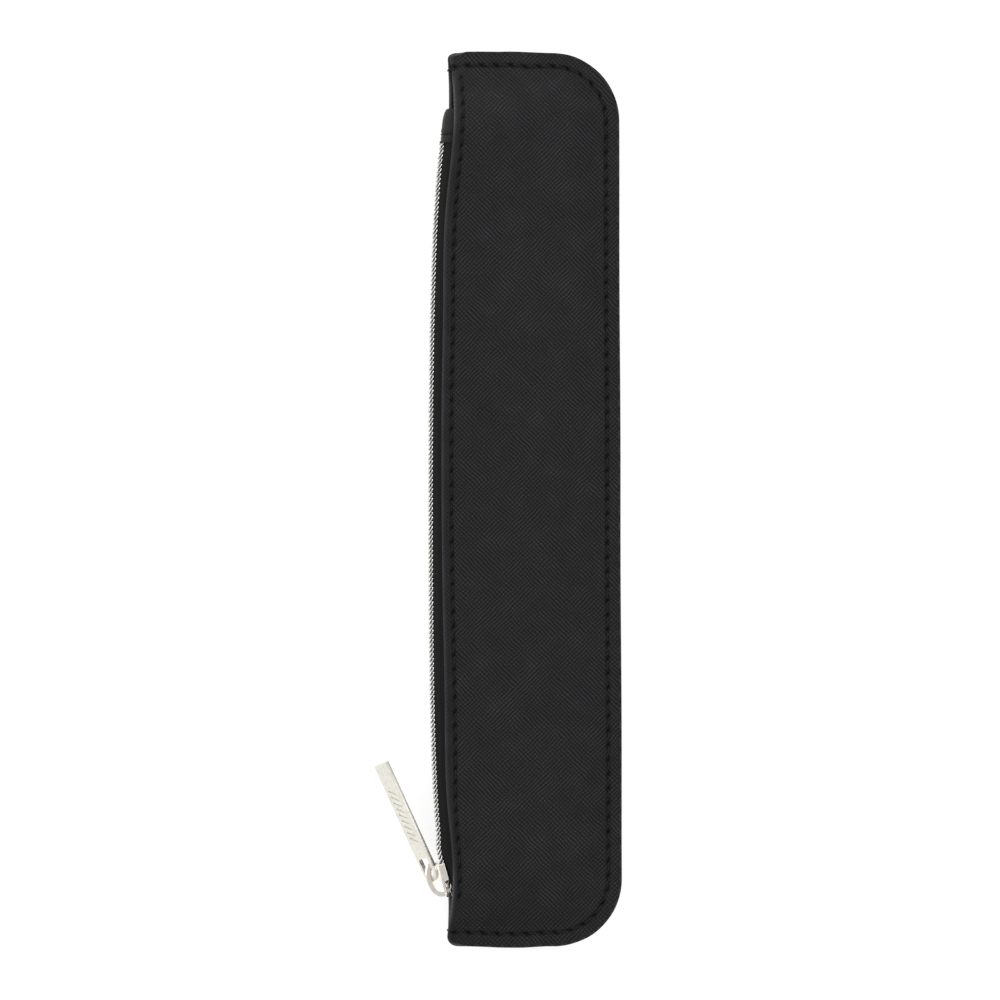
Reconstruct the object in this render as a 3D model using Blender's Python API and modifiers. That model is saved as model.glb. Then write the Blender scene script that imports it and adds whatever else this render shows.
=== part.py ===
"""Slim zipped leather case for fountain pens, lying on its back panel.

Frame: the origin is the centre of the flat bottom of the back panel. +X points
to the sewn spine, -X to the zip, +Y along the length towards the end tab and
+Z up. Lengths are in metres.
"""

import math

import bmesh
import bpy
import numpy as np
from mathutils import Vector

MM = 0.001

# ---- plan outline of the two leather panels
HALF_LENGTH = 107.5 * MM
SPINE_X = 20.9 * MM
SPINE_CORNER_RADIUS = 16.3 * MM
FOLD_X = -22.45 * MM
TOP_WAIST = (3.05 * MM, 93.0 * MM, 21.4 * MM)
BOTTOM_WAIST = (2.5 * MM, -91.0 * MM, 17.0 * MM)
LOWER_WAIST = (0.8 * MM, -55.0 * MM, 32.0 * MM)

# ---- thickness of the closed case
CASE_THICKNESS = 10.6 * MM
RIM_THICKNESS = 3.3 * MM
RIM_LIFT = 1.2 * MM
RIM_WIDTH = 4.5 * MM
RISE_FROM_SPINE = 36.0 * MM
RISE_FROM_ENDS = 16.0 * MM
LIFT_RUN = 12.0 * MM
FOLD_LIFT_RUN = 7.0 * MM
FOLD_LIFT_SHARE = 0.35

# ---- layers of one panel
LEATHER = 0.7 * MM
BOARD = 0.34 * MM
HEM = 0.5 * MM
TAPE = 0.4 * MM
LINING = 0.25 * MM
SKIN_GAP = 0.08 * MM
BOARD_SLOT = 0.48 * MM
TAPE_SLOT = 0.62 * MM
TAPE_SLACK = 0.14 * MM
HEM_WIDTH = 8.0 * MM
FOLD_RADIUS = 0.9 * MM
FOLD_THROAT = 0.15 * MM
TAPE_IN_PANEL = 9.4 * MM
LINING_START = 3.2 * MM
LINING_STEP = (10.0 * MM, 12.5 * MM)
BOARD_START = 1.2 * MM
BOARD_FADE = (4.5 * MM, 8.0 * MM)
BOARD_MARGIN = 9.9 * MM
LINING_MARGIN = 0.8 * MM

# ---- seams
RIM_SEAM_INSET = 3.3 * MM
ZIP_SEAM_INSET = 2.3 * MM
THREAD_RADIUS = 0.2 * MM
THREAD_LIFT = 0.27 * MM
RIM_THREAD_LIFT = 0.34 * MM
ZIP_SEAM_Y = (-96.0 * MM, 101.0 * MM)

# ---- zip chain
CHAIN_X = -24.75 * MM
CHAIN_TOP_BOW = 2.4 * MM
CHAIN_BOTTOM_BOW = 1.8 * MM
CHAIN_BOW_Y = 86.0 * MM
CHAIN_DIVE = 1.3 * MM
CHAIN_DIVE_Y = (82.5 * MM, 86.5 * MM)
SLIDER_ENTRY_Y = (-81.0 * MM, -87.0 * MM)
SLIDER_LEVEL_Y = (-84.0 * MM, -87.0 * MM)
COIL_IN_SLIDER = 0.3 * MM
COIL_WIDTH = 1.9 * MM
COIL_HEIGHT = 1.3 * MM
COIL_WALL = 0.32 * MM
COIL_SPLIT = 0.1 * MM
CORD_WIDTH = 0.9 * MM
CORD_HEIGHT = 0.4 * MM
TAPE_BEHIND_COIL = 0.95 * MM
TAPE_EDGE = 2.15 * MM
TAPE_FLANGE_REACH = 0.35 * MM
TAPE_LINES = (2.6 * MM, 4.6 * MM, 8.0 * MM)
CHAIN_Y = (-94.4 * MM, 85.3 * MM)
TAPE_Y = (-92.4 * MM, 85.2 * MM)
CHAIN_SPREAD = 0.8 * MM
CHAIN_SPREAD_Y = (-91.6 * MM, -95.2 * MM)

# ---- slider
SLIDER_CENTRE = Vector((-20.9 * MM, -91.2 * MM, 5.05 * MM))
SLIDER_TILT = math.radians(10.0)
SLIDER_HALF_LENGTH = 4.2 * MM
SLIDER_HALF_WIDTH = 2.9 * MM
SLIDER_HALF_THICKNESS = 1.65 * MM
SLIDER_PLATE = 0.6 * MM
SLIDER_FLANGE = 0.5 * MM
SLIDER_FLANGE_DEPTH = 1.35 * MM
SLIDER_FLANGE_L = (-0.7 * MM, 4.1 * MM)
SLIDER_REAR_CLIP = 0.7 * MM
SLIDER_NOSE_DEPTH = 2.2 * MM
WELD_DEPTH = 0.2 * MM
INNER_PLATE_HALF_WIDTH = 2.1 * MM
INNER_PLATE_NOSE = 3.3 * MM
DIVIDER_L = (-3.2 * MM, -1.9 * MM)
DIVIDER_HALF_WIDTH = 0.45 * MM
CROWN_THICKNESS = 0.95 * MM
CROWN_WIDTH = 0.55 * MM

# ---- pull bar
PULL_PIVOT = Vector((-24.4 * MM, -91.2 * MM, 5.05 * MM))
PULL_ANGLE = math.radians(114.5)
PULL_ROLL = math.radians(-54.0)
PULL_LENGTH = 31.0 * MM
PULL_WIDTH = 5.3 * MM
PULL_THICKNESS = 0.8 * MM
PULL_END = -0.6 * MM
SLOT = (0.38 * MM, 5.4 * MM)
SLOT_WIDTH = 3.6 * MM

# ---- mouth: the front panel swings open about the outer edge of the sewn spine
MOUTH_HINGE = Vector((21.2 * MM, 0.0, 2.85 * MM))

# ---- zip stops and end tab
TOP_STOP_Y = (-95.5 * MM, -94.6 * MM)
TOP_STOP_HALF = (0.6 * MM, 0.7 * MM)
BOTTOM_STOP_HALF = (0.45 * MM, 1.5 * MM)
BOTTOM_STOP_Y = (86.2 * MM, 87.6 * MM)
TAB_Y = (85.6 * MM, 94.0 * MM)
TAB_X = -22.5 * MM
TAB_THICKNESS = 0.6 * MM
TAB_ARM_END = 2.6 * MM
TAB_SEAM_Y = 87.9 * MM
TAB_SEAM_CLEARANCE = 0.33 * MM
TAB_SEAM_END = 0.9 * MM
TAB_NOSE_CURL = 7.0 * MM
TAB_CURL_START = 0.55
TAB_NOSE_ANGLES = (62.0, 38.0, 14.0)

# ---- sampling
STATIONS = (0.0, 20.0, 38.0, 54.0, 68.0, 78.0, 85.5, 90.5, 94.2, 97.6, 100.5, 103.0, 105.2, 106.8, 107.5)
FOLD_LINES = (0.0, 0.5, 1.2, 2.6, 4.6, 8.0, 10.0, 11.2, 12.5)
SPAN_FRACTIONS = (0.24, 0.46, 0.66, 0.85, 0.94, 1.0)
LINE_STEP = 0.2 * MM
MIN_STEP = 0.5 * MM
END_STEP = 0.6 * MM

# ---- colours
LEATHER_BLACK = (0.021, 0.021, 0.023)
BOARD_BROWN = (0.30, 0.24, 0.17)
LINING_BLACK = (0.012, 0.012, 0.014)
TAPE_BLACK = (0.01, 0.01, 0.011)
THREAD_BLACK = (0.008, 0.008, 0.009)
CORD_GREY = (0.05, 0.05, 0.05)
COIL_SILVER = (0.72, 0.72, 0.70)
STOP_SILVER = (0.70, 0.69, 0.66)
SLIDER_NICKEL = (0.74, 0.72, 0.67)
PULL_NICKEL = (0.78, 0.75, 0.68)
CHAIN_STATIONS = (-93.4, -91.9, -89.0, -87.2, -82.5, -30.0, 30.0, 83.6)


# ---------------------------------------------------------------- shape rules
def ease_out(s):
    """0 below s=0, 1 above s=1, leaving 0 at a slope and reaching 1 flat."""
    s = min(max(s, 0.0), 1.0)
    return 1.0 - (1.0 - s) ** 2


def smooth(s):
    s = min(max(s, 0.0), 1.0)
    return s * s * (3.0 - 2.0 * s)


def waist(y, spec):
    depth, centre, width = spec
    return depth * math.exp(-(((y - centre) / width) ** 2))


def fold_x(y):
    """X of the turned edge of a panel."""
    return FOLD_X + waist(y, TOP_WAIST) + waist(y, BOTTOM_WAIST) + waist(y, LOWER_WAIST)


def spine_x(y, inset=0.0):
    """X of the spine edge, inset by a margin and rounded at both corners."""
    radius = SPINE_CORNER_RADIUS - inset
    over = abs(y) - (HALF_LENGTH - SPINE_CORNER_RADIUS)
    over = min(max(over, 0.0), radius)
    return SPINE_X - inset - radius + math.sqrt(radius**2 - over**2)


def edge_distances(x, y):
    return SPINE_X - x, HALF_LENGTH - abs(y)


def back_outer(x, y):
    """Bottom surface: flat in the middle, lifting towards all four edges."""
    dx, dy = edge_distances(x, y)
    flat = ease_out(dx / LIFT_RUN) * ease_out(dy / LIFT_RUN)
    flat *= ease_out((x - fold_x(y)) / FOLD_LIFT_RUN + FOLD_LIFT_SHARE)
    return RIM_LIFT * (1.0 - flat)


def front_outer(x, y):
    """Top surface: level along the sewn rim, highest along the zip."""
    dx, dy = edge_distances(x, y)
    rise = ease_out((dx - RIM_WIDTH) / RISE_FROM_SPINE) * ease_out((dy - RIM_WIDTH) / RISE_FROM_ENDS)
    rim = RIM_LIFT + RIM_THICKNESS
    return rim + (CASE_THICKNESS - rim) * rise


def board_share(x, y):
    """1 where the board lies between leather and hem, 0 along the sewn rim."""
    near = min(edge_distances(x, y))
    return smooth((near - BOARD_FADE[0]) / (BOARD_FADE[1] - BOARD_FADE[0]))


def layer_depth(layer, x, y):
    """Distance of a layer's outer side from the outer surface of its panel."""
    share = board_share(x, y)
    under_leather = LEATHER + SKIN_GAP
    under_board = under_leather + BOARD_SLOT * share
    under_hem = under_board + HEM + SKIN_GAP
    under_tape = under_hem + TAPE_SLOT * share
    if layer == "board":
        return under_leather
    if layer == "hem":
        return under_board
    if layer == "tape":
        return under_hem + TAPE_SLACK - SKIN_GAP
    step = smooth((x - fold_x(y) - LINING_STEP[0]) / (LINING_STEP[1] - LINING_STEP[0]))
    return under_tape + (under_board - under_tape) * step


def surface(side, x, y, depth):
    """Height of a surface at a depth inside the front or the back panel."""
    if side == "front":
        return front_outer(x, y) - depth
    return back_outer(x, y) + depth


def chain_z(y):
    """Height of the middle of the zip."""
    return 0.5 * (front_outer(fold_x(y), y) + back_outer(fold_x(y), y))


def slider_line_x(y):
    return SLIDER_CENTRE.x - (y - SLIDER_CENTRE.y) * math.tan(SLIDER_TILT)


def chain_x(y):
    """X of the middle of the coils, bowed outwards between the ends."""
    if y > 0.0:
        bowed = CHAIN_X + CHAIN_TOP_BOW * (y / CHAIN_BOW_Y) ** 2
        return bowed + CHAIN_DIVE * smooth((y - CHAIN_DIVE_Y[0]) / (CHAIN_DIVE_Y[1] - CHAIN_DIVE_Y[0]))
    bowed = CHAIN_X + CHAIN_BOTTOM_BOW * (y / CHAIN_BOW_Y) ** 4
    in_slider = slider_line_x(y) - COIL_IN_SLIDER
    start, end = SLIDER_ENTRY_Y
    share = smooth((start - y) / (start - end))
    return bowed + (in_slider - bowed) * share


def near_slider(y):
    """0 along the chain, 1 where it runs inside the slider at rest."""
    start, end = SLIDER_LEVEL_Y
    return smooth((start - y) / (start - end))


def chain_height(y):
    share = near_slider(y)
    return chain_z(y) + (SLIDER_CENTRE.z - chain_z(y)) * share


def chain_spread(y):
    """How far each coil row stands off the middle beyond the slider's mouth."""
    start, end = CHAIN_SPREAD_Y
    return CHAIN_SPREAD * smooth((start - y) / (start - end))


def stations(low=-HALF_LENGTH, high=HALF_LENGTH):
    """Cross-section positions along Y between two limits."""
    ys = sorted({s * MM * sign for s in STATIONS for sign in (-1.0, 1.0)})
    inner = [y for y in ys if low + END_STEP < y < high - END_STEP]
    return [low] + inner + [high]


# ---------------------------------------------------------------- mesh helpers
def material(name, colour, roughness, metallic=0.0):
    mat = bpy.data.materials.new(name)
    mat.use_nodes = True
    shader = mat.node_tree.nodes["Principled BSDF"]
    shader.inputs["Base Color"].default_value = (*colour, 1.0)
    shader.inputs["Roughness"].default_value = roughness
    shader.inputs["Metallic"].default_value = metallic
    mat.diffuse_color = (*colour, 1.0)
    return mat


def add_object(name, mesh, mat, collection, smooth_angle=40.0):
    mesh.materials.append(mat)
    obj = bpy.data.objects.new(name, mesh)
    collection.objects.link(obj)
    if smooth_angle:
        mesh.shade_smooth()
        mesh.set_sharp_from_angle(angle=math.radians(smooth_angle))
    return obj


def loft(name, sections):
    """A closed solid through closed sections of equal point counts."""
    bm = bmesh.new()
    rings = [[bm.verts.new(p) for p in section] for section in sections]
    count = len(rings[0])
    for a, b in zip(rings, rings[1:]):
        for i in range(count):
            j = (i + 1) % count
            bm.faces.new((a[i], a[j], b[j], b[i]))
    bm.faces.new(rings[0][::-1])
    bm.faces.new(rings[-1])
    bmesh.ops.recalc_face_normals(bm, faces=bm.faces)
    mesh = bpy.data.meshes.new(name)
    bm.to_mesh(mesh)
    bm.free()
    return mesh


def sweep(name, path, half_u, half_v, up=Vector((0, 0, 1)), sides=4):
    """A bar of rectangular or round section along a path of points."""
    sections = []
    for i, point in enumerate(path):
        ahead = path[min(i + 1, len(path) - 1)]
        behind = path[max(i - 1, 0)]
        tangent = (ahead - behind).normalized()
        across = tangent.cross(up).normalized()
        upward = across.cross(tangent).normalized()
        ring = []
        for k in range(sides):
            angle = 2.0 * math.pi * (k + 0.5) / sides
            reach = math.sqrt(2.0) if sides == 4 else 1.0
            u = across * (math.cos(angle) * half_u * reach)
            v = upward * (math.sin(angle) * half_v * reach)
            ring.append(point + u + v)
        sections.append(ring)
    return loft(name, sections)


def box_mesh(name, low, high):
    bm = bmesh.new()
    bmesh.ops.create_cube(bm, size=1.0)
    for v in bm.verts:
        v.co = Vector([low[i] if v.co[i] < 0 else high[i] for i in range(3)])
    mesh = bpy.data.meshes.new(name)
    bm.to_mesh(mesh)
    bm.free()
    return mesh


def plate_mesh(name, outline, low, high):
    """A flat outline in (l, w) given a thickness along o."""
    bottom = [Vector((low, l, w)) for l, w in outline]
    top = [Vector((high, l, w)) for l, w in outline]
    return loft(name, [bottom, top])


def boolean(obj, mesh, name, operation, cutters):
    tool = bpy.data.objects.new(name, mesh)
    tool.hide_render = True
    tool.display_type = "WIRE"
    tool.matrix_world = obj.matrix_world
    cutters.objects.link(tool)
    modifier = obj.modifiers.new(name, "BOOLEAN")
    modifier.operation = operation
    modifier.solver = "EXACT"
    modifier.object = tool


# ---------------------------------------------------------------- panels
def panel_stops(y, start, margin):
    """X positions of a layer's grid lines, from the zip side to the spine."""
    fold = fold_x(y)
    near = [fold + s * MM for s in FOLD_LINES]
    span = spine_x(y) - near[-1]
    lines = near + [near[-1] + f * span for f in SPAN_FRACTIONS]
    lines = [fold + start] + [x for x in lines if x > fold + start + 0.2 * MM]
    limit = spine_x(y, margin)
    count = len(lines)
    return [min(x, limit - LINE_STEP * (count - 1 - i)) for i, x in enumerate(lines)]


def leather_section(side, y):
    """A panel's outer skin with its turned edge, hooked round the board."""
    fold = fold_x(y)
    hook = FOLD_RADIUS
    stops = [fold + hook] + [x for x in panel_stops(y, 0.0, 0.0) if x > fold + hook + 0.2 * MM]
    hem_stops = [x for x in stops if x < fold + HEM_WIDTH + 0.1 * MM]
    outer = [(x, surface(side, x, y, 0.0)) for x in reversed(stops)]
    inner = [(x, surface(side, x, y, LEATHER)) for x in stops]
    hem_top = [(x, surface(side, x, y, layer_depth("hem", x, y))) for x in reversed(hem_stops)]
    hem_bottom = [(x, surface(side, x, y, layer_depth("hem", x, y) + HEM)) for x in hem_stops]
    x0 = stops[0]
    top = outer[-1][1]
    low = hem_bottom[0][1]
    middle = 0.5 * (top + low)
    half = 0.5 * (top - low)
    turn = []
    for k in (1, 2, 3):
        angle = math.pi * (0.5 + k / 4.0)
        turn.append((x0 + hook * math.cos(angle), middle + half * math.sin(angle)))
    gap_top = inner[0][1]
    gap_low = hem_top[-1][1]
    throat = (x0 - FOLD_THROAT, 0.5 * (gap_top + gap_low))
    loop = outer + turn + hem_bottom + hem_top + [throat] + inner
    return [Vector((x, y, z)) for x, z in loop]


def make_leather(side, mat, parts):
    sections = [leather_section(side, y) for y in stations()]
    return add_object(f"{side}_panel", loft(f"{side}_panel", sections), mat, parts)


def sheet_section(side, y, layer, thickness, start, margin, stop=None):
    """A thin sheet that follows a panel at the depth of its layer."""
    stops = panel_stops(y, start, margin)
    if stop is not None:
        limit = fold_x(y) + stop
        stops = [x for x in stops if x < limit - 0.2 * MM] + [limit]
    upper = [(x, surface(side, x, y, layer_depth(layer, x, y))) for x in stops]
    lower = [(x, surface(side, x, y, layer_depth(layer, x, y) + thickness)) for x in reversed(stops)]
    return [Vector((x, y, z)) for x, z in upper + lower]


def make_board(side, mat, parts):
    high = HALF_LENGTH - BOARD_MARGIN
    sections = []
    for y in stations(-high, high):
        sections.append(sheet_section(side, y, "board", BOARD, BOARD_START, BOARD_MARGIN))
    return add_object(f"{side}_stiffener", loft(f"{side}_stiffener", sections), mat, parts)


def make_lining(side, mat, parts):
    high = HALF_LENGTH - LINING_MARGIN
    sections = []
    for y in stations(-high, high):
        sections.append(sheet_section(side, y, "lining", LINING, LINING_START, LINING_MARGIN))
    return add_object(f"{side}_lining", loft(f"{side}_lining", sections), mat, parts)


# ---------------------------------------------------------------- zip
def row_sign(side):
    return 1.0 if side == "front" else -1.0


def row_z(side, y):
    """Height of the middle of one coil row."""
    offset = COIL_SPLIT + 0.5 * COIL_WIDTH + chain_spread(y)
    return chain_height(y) + row_sign(side) * offset


def tape_section(side, y):
    """Woven tape: behind its coil, then inwards between hem and lining."""
    sign = row_sign(side)
    x_tape = chain_x(y) + TAPE_BEHIND_COIL
    z_mid = chain_height(y)
    spread = chain_spread(y)
    fold = fold_x(y)
    half = 0.5 * TAPE

    def in_panel(s):
        x = fold + s
        return Vector((x, y, surface(side, x, y, layer_depth("tape", x, y) + half)))

    start = Vector((x_tape, y, z_mid + sign * (0.2 * MM + spread)))
    reach = TAPE_EDGE + TAPE_FLANGE_REACH * near_slider(y)
    edge = Vector((x_tape, y, z_mid + sign * (reach + spread)))
    first = in_panel(1.0 * MM)
    bend = Vector((x_tape + 0.35 * (first.x - x_tape), y, edge.z + 0.6 * (first.z - edge.z)))
    lip = Vector((x_tape + 0.7 * (first.x - x_tape), y, edge.z + 0.92 * (first.z - edge.z)))
    inner = [in_panel(s) for s in TAPE_LINES] + [in_panel(TAPE_IN_PANEL)]
    line = [start, edge, bend, lip, first] + inner
    left, right = [], []
    for i, point in enumerate(line):
        tangent = line[min(i + 1, len(line) - 1)] - line[max(i - 1, 0)]
        normal = Vector((-tangent.z, 0.0, tangent.x)).normalized() * half
        left.append(point + normal)
        right.append(point - normal)
    return left + right[::-1]


def zip_stations(low, high):
    """Stations along the chain, closer together where it bends at its ends."""
    extra = [e * MM for e in CHAIN_STATIONS if low + MIN_STEP < e * MM < high - MIN_STEP]
    ys = sorted(stations(low, high) + extra)
    return [y for i, y in enumerate(ys) if i in (0, len(ys) - 1) or y - ys[i - 1] > MIN_STEP]


def make_tape(side, mat, parts):
    sections = [tape_section(side, y) for y in zip_stations(*TAPE_Y)]
    return add_object(f"zip_tape_{side}", loft(f"zip_tape_{side}", sections), mat, parts)


def coil_ring(side, y, half_z, half_x):
    x, z = chain_x(y), row_z(side, y)
    corners = [(-half_x, -half_z), (half_x, -half_z), (half_x, half_z), (-half_x, half_z)]
    return [Vector((x + dx, y, z + dz)) for dx, dz in corners]


def make_coil(side, mat, parts):
    """The coil row as an open-ended rectangular sleeve round its core cord."""
    ys = zip_stations(*CHAIN_Y)
    outer = [coil_ring(side, y, COIL_WIDTH / 2, COIL_HEIGHT / 2) for y in ys]
    inner = [coil_ring(side, y, COIL_WIDTH / 2 - COIL_WALL, COIL_HEIGHT / 2 - COIL_WALL) for y in ys]
    bm = bmesh.new()
    out = [[bm.verts.new(p) for p in ring] for ring in outer]
    core = [[bm.verts.new(p) for p in ring] for ring in inner]
    for rings in (out, core):
        for a, b in zip(rings, rings[1:]):
            for i in range(4):
                j = (i + 1) % 4
                bm.faces.new((a[i], a[j], b[j], b[i]))
    for a, b in ((out[0], core[0]), (out[-1], core[-1])):
        for i in range(4):
            j = (i + 1) % 4
            bm.faces.new((a[i], a[j], b[j], b[i]))
    bmesh.ops.recalc_face_normals(bm, faces=bm.faces)
    mesh = bpy.data.meshes.new(f"zip_coil_{side}")
    bm.to_mesh(mesh)
    bm.free()
    return add_object(f"zip_coil_{side}", mesh, mat, parts)


def make_cord(side, mat, parts):
    low, high = CHAIN_Y
    ys = zip_stations(low + 0.2 * MM, high - 0.2 * MM)
    sections = [coil_ring(side, y, CORD_WIDTH / 2, CORD_HEIGHT / 2) for y in ys]
    return add_object(f"zip_core_cord_{side}", loft(f"zip_core_cord_{side}", sections), mat, parts)


def make_top_stop(side, mat, parts):
    y0, y1 = TOP_STOP_Y
    middle = 0.5 * (y0 + y1)
    x, z = chain_x(middle), row_z(side, middle)
    dx, dz = TOP_STOP_HALF
    low = (x - dx, y0, z - dz)
    high = (x + dx, y1, z + dz)
    obj = add_object(f"zip_top_stop_{side}", box_mesh(f"zip_top_stop_{side}", low, high), mat, parts)
    bevel = obj.modifiers.new("rounding", "BEVEL")
    bevel.width = 0.2 * MM
    bevel.segments = 1
    return obj


def make_bottom_stop(mat, parts):
    y0, y1 = BOTTOM_STOP_Y
    middle = 0.5 * (y0 + y1)
    x, z = chain_x(middle), chain_height(middle)
    dx, dz = BOTTOM_STOP_HALF
    low = (x - dx, y0, z - dz)
    high = (x + dx, y1, z + dz)
    obj = add_object("zip_bottom_stop", box_mesh("zip_bottom_stop", low, high), mat, parts)
    bevel = obj.modifiers.new("rounding", "BEVEL")
    bevel.width = 0.25 * MM
    bevel.segments = 1
    return obj


def tab_line(y, inset):
    """Outline of the tab in X and Z at one station, inset from its outside."""
    fold = fold_x(y)
    depth = layer_depth("tape", fold, y) + SKIN_GAP + inset
    end = (y - TAB_Y[0]) / (TAB_Y[1] - TAB_Y[0])
    nose = TAB_X + TAB_NOSE_CURL * max(end - TAB_CURL_START, 0.0) ** 2 + inset
    tip = fold + TAB_ARM_END
    points = []
    for side in ("front", "back"):
        sign = row_sign(side)
        arm = [(tip, surface(side, tip, y, depth)), (fold, surface(side, fold, y, depth))]
        middle = chain_z(y)
        reach = abs(arm[1][1] - middle)
        for angle in TAB_NOSE_ANGLES:
            a = math.radians(angle)
            px = fold + (nose - fold) * math.cos(a) ** 0.8
            arm.append((px, middle + sign * reach * math.sin(a) ** 0.9))
        points.append(arm)
    return points[0] + points[1][::-1]


def make_tab(mat, parts):
    sections = []
    for share in (0.0, 0.2, 0.4, 0.6, 0.8, 0.92, 1.0):
        y = TAB_Y[0] + share * (TAB_Y[1] - TAB_Y[0])
        outer = tab_line(y, 0.0)
        inner = tab_line(y, TAB_THICKNESS)
        sections.append([Vector((x, y, z)) for x, z in outer + inner[::-1]])
    return add_object("zip_end_tab", loft("zip_end_tab", sections), mat, parts)


# ---------------------------------------------------------------- seams
def rim_seam_path(side):
    """Along one short end, the spine and the other short end."""
    lift = RIM_THREAD_LIFT
    inset = RIM_SEAM_INSET
    low_x = fold_x(HALF_LENGTH) + 1.6 * MM
    corner = SPINE_CORNER_RADIUS - inset
    centre = Vector((SPINE_X - SPINE_CORNER_RADIUS, HALF_LENGTH - SPINE_CORNER_RADIUS))
    half = []
    for x in np.linspace(low_x, centre.x, 7)[:-1]:
        half.append((float(x), HALF_LENGTH - inset))
    for angle in np.linspace(90.0, 0.0, 7):
        a = math.radians(float(angle))
        half.append((centre.x + corner * math.cos(a), centre.y + corner * math.sin(a)))
    for y in (78.0, 52.0, 26.0):
        half.append((SPINE_X - inset, y * MM))
    plan = half + [(SPINE_X - inset, 0.0)] + [(x, -y) for x, y in reversed(half)]
    sign = row_sign(side)
    return [Vector((x, y, surface(side, x, y, 0.0) + sign * lift)) for x, y in plan]


def zip_seam_path(side):
    low, high = ZIP_SEAM_Y
    sign = row_sign(side)
    path = []
    for y in stations(low, high):
        x = fold_x(y) + ZIP_SEAM_INSET
        path.append(Vector((x, y, surface(side, x, y, 0.0) + sign * THREAD_LIFT)))
    return path


def tab_seam_path():
    y = TAB_SEAM_Y
    outside = tab_line(y, -TAB_SEAM_CLEARANCE)
    visible = [p for p in outside if p[0] < fold_x(y) - TAB_SEAM_END]
    return [Vector((x, y, z)) for x, z in visible]


def make_thread(name, path, mat, parts, up=Vector((0, 0, 1))):
    mesh = sweep(name, path, THREAD_RADIUS, THREAD_RADIUS, up=up)
    return add_object(name, mesh, mat, parts, smooth_angle=0.0)


# ---------------------------------------------------------------- slider and pull
def slider_outline(half_width, nose, rear):
    """Plate outline in (l, w): round nose, clipped rear corners."""
    points = []
    for k in range(7):
        a = math.radians(-90.0 + 30.0 * k)
        l = -nose + SLIDER_NOSE_DEPTH * (1.0 - math.cos(a))
        points.append((l, half_width * math.sin(a)))
    clip = SLIDER_REAR_CLIP
    points += [(rear - clip, half_width), (rear, half_width - clip)]
    points += [(rear, -half_width + clip), (rear - clip, -half_width)]
    return points


def crown_path():
    """Centre line of the crown strap, in world X and Y, foot to foot."""
    knots = [
        (-21.0, -94.95), (-21.75, -94.95), (-22.9, -95.0), (-24.45, -94.1), (-25.5, -92.4),
        (-26.0, -90.3), (-25.85, -88.7), (-24.9, -87.9), (-24.0, -87.7), (-23.0, -87.8), (-22.0, -87.8),
    ]
    points = []
    for i in range(1, len(knots) - 2):
        p0, p1, p2, p3 = (np.array(k) for k in knots[i - 1 : i + 3])
        for t in (0.0, 0.34, 0.67):
            cubic = 2 * p1 + (p2 - p0) * t + (2 * p0 - 5 * p1 + 4 * p2 - p3) * t**2
            cubic = 0.5 * (cubic + (3 * p1 - p0 - 3 * p2 + p3) * t**3)
            points.append(cubic)
    points.append(np.array(knots[-2]))
    return [Vector((p[0] * MM, p[1] * MM, SLIDER_CENTRE.z)) for p in points]


def slider_local(point):
    """World point in the slider's own frame, x along -outward, y along length."""
    turned = point - SLIDER_CENTRE
    c, s = math.cos(-SLIDER_TILT), math.sin(-SLIDER_TILT)
    return Vector((c * turned.x - s * turned.y, s * turned.x + c * turned.y, turned.z))


def make_slider(mat, parts, cutters):
    t, p = SLIDER_HALF_THICKNESS, SLIDER_PLATE
    nose, rear = SLIDER_HALF_LENGTH, SLIDER_HALF_LENGTH
    top = plate_mesh("slider_body", slider_outline(SLIDER_HALF_WIDTH, nose, rear), -t, -t + p)
    obj = add_object("slider_body", top, mat, parts, smooth_angle=35.0)
    obj.location = SLIDER_CENTRE
    obj.rotation_euler = (0.0, 0.0, SLIDER_TILT)
    bpy.context.view_layer.update()
    inner_outline = slider_outline(INNER_PLATE_HALF_WIDTH, INNER_PLATE_NOSE, rear)
    inner = plate_mesh("slider_inner_plate", inner_outline, t - p, t)
    boolean(obj, inner, "slider_inner_plate", "UNION", cutters)
    l0, l1 = DIVIDER_L
    w = DIVIDER_HALF_WIDTH
    wedge = [(l0, -w), (l1, -0.12 * MM), (l1, 0.12 * MM), (l0, w)]
    divider = plate_mesh("slider_divider", wedge, -t + WELD_DEPTH, t - WELD_DEPTH)
    boolean(obj, divider, "slider_divider", "UNION", cutters)
    f0, f1 = SLIDER_FLANGE_L
    for label, sign in (("front", 1.0), ("back", -1.0)):
        low_w = sorted((sign * (SLIDER_HALF_WIDTH - SLIDER_FLANGE), sign * (SLIDER_HALF_WIDTH - 0.02 * MM)))
        low = (-t + WELD_DEPTH, f0, low_w[0])
        high = (-t + p + SLIDER_FLANGE_DEPTH, f1 - SLIDER_REAR_CLIP, low_w[1])
        flange = box_mesh(f"slider_flange_{label}", low, high)
        boolean(obj, flange, f"slider_flange_{label}", "UNION", cutters)
    strap = [slider_local(point) for point in crown_path()]
    crown = sweep("slider_crown", strap, CROWN_THICKNESS / 2, CROWN_WIDTH / 2)
    boolean(obj, crown, "slider_crown", "UNION", cutters)
    return obj


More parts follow.
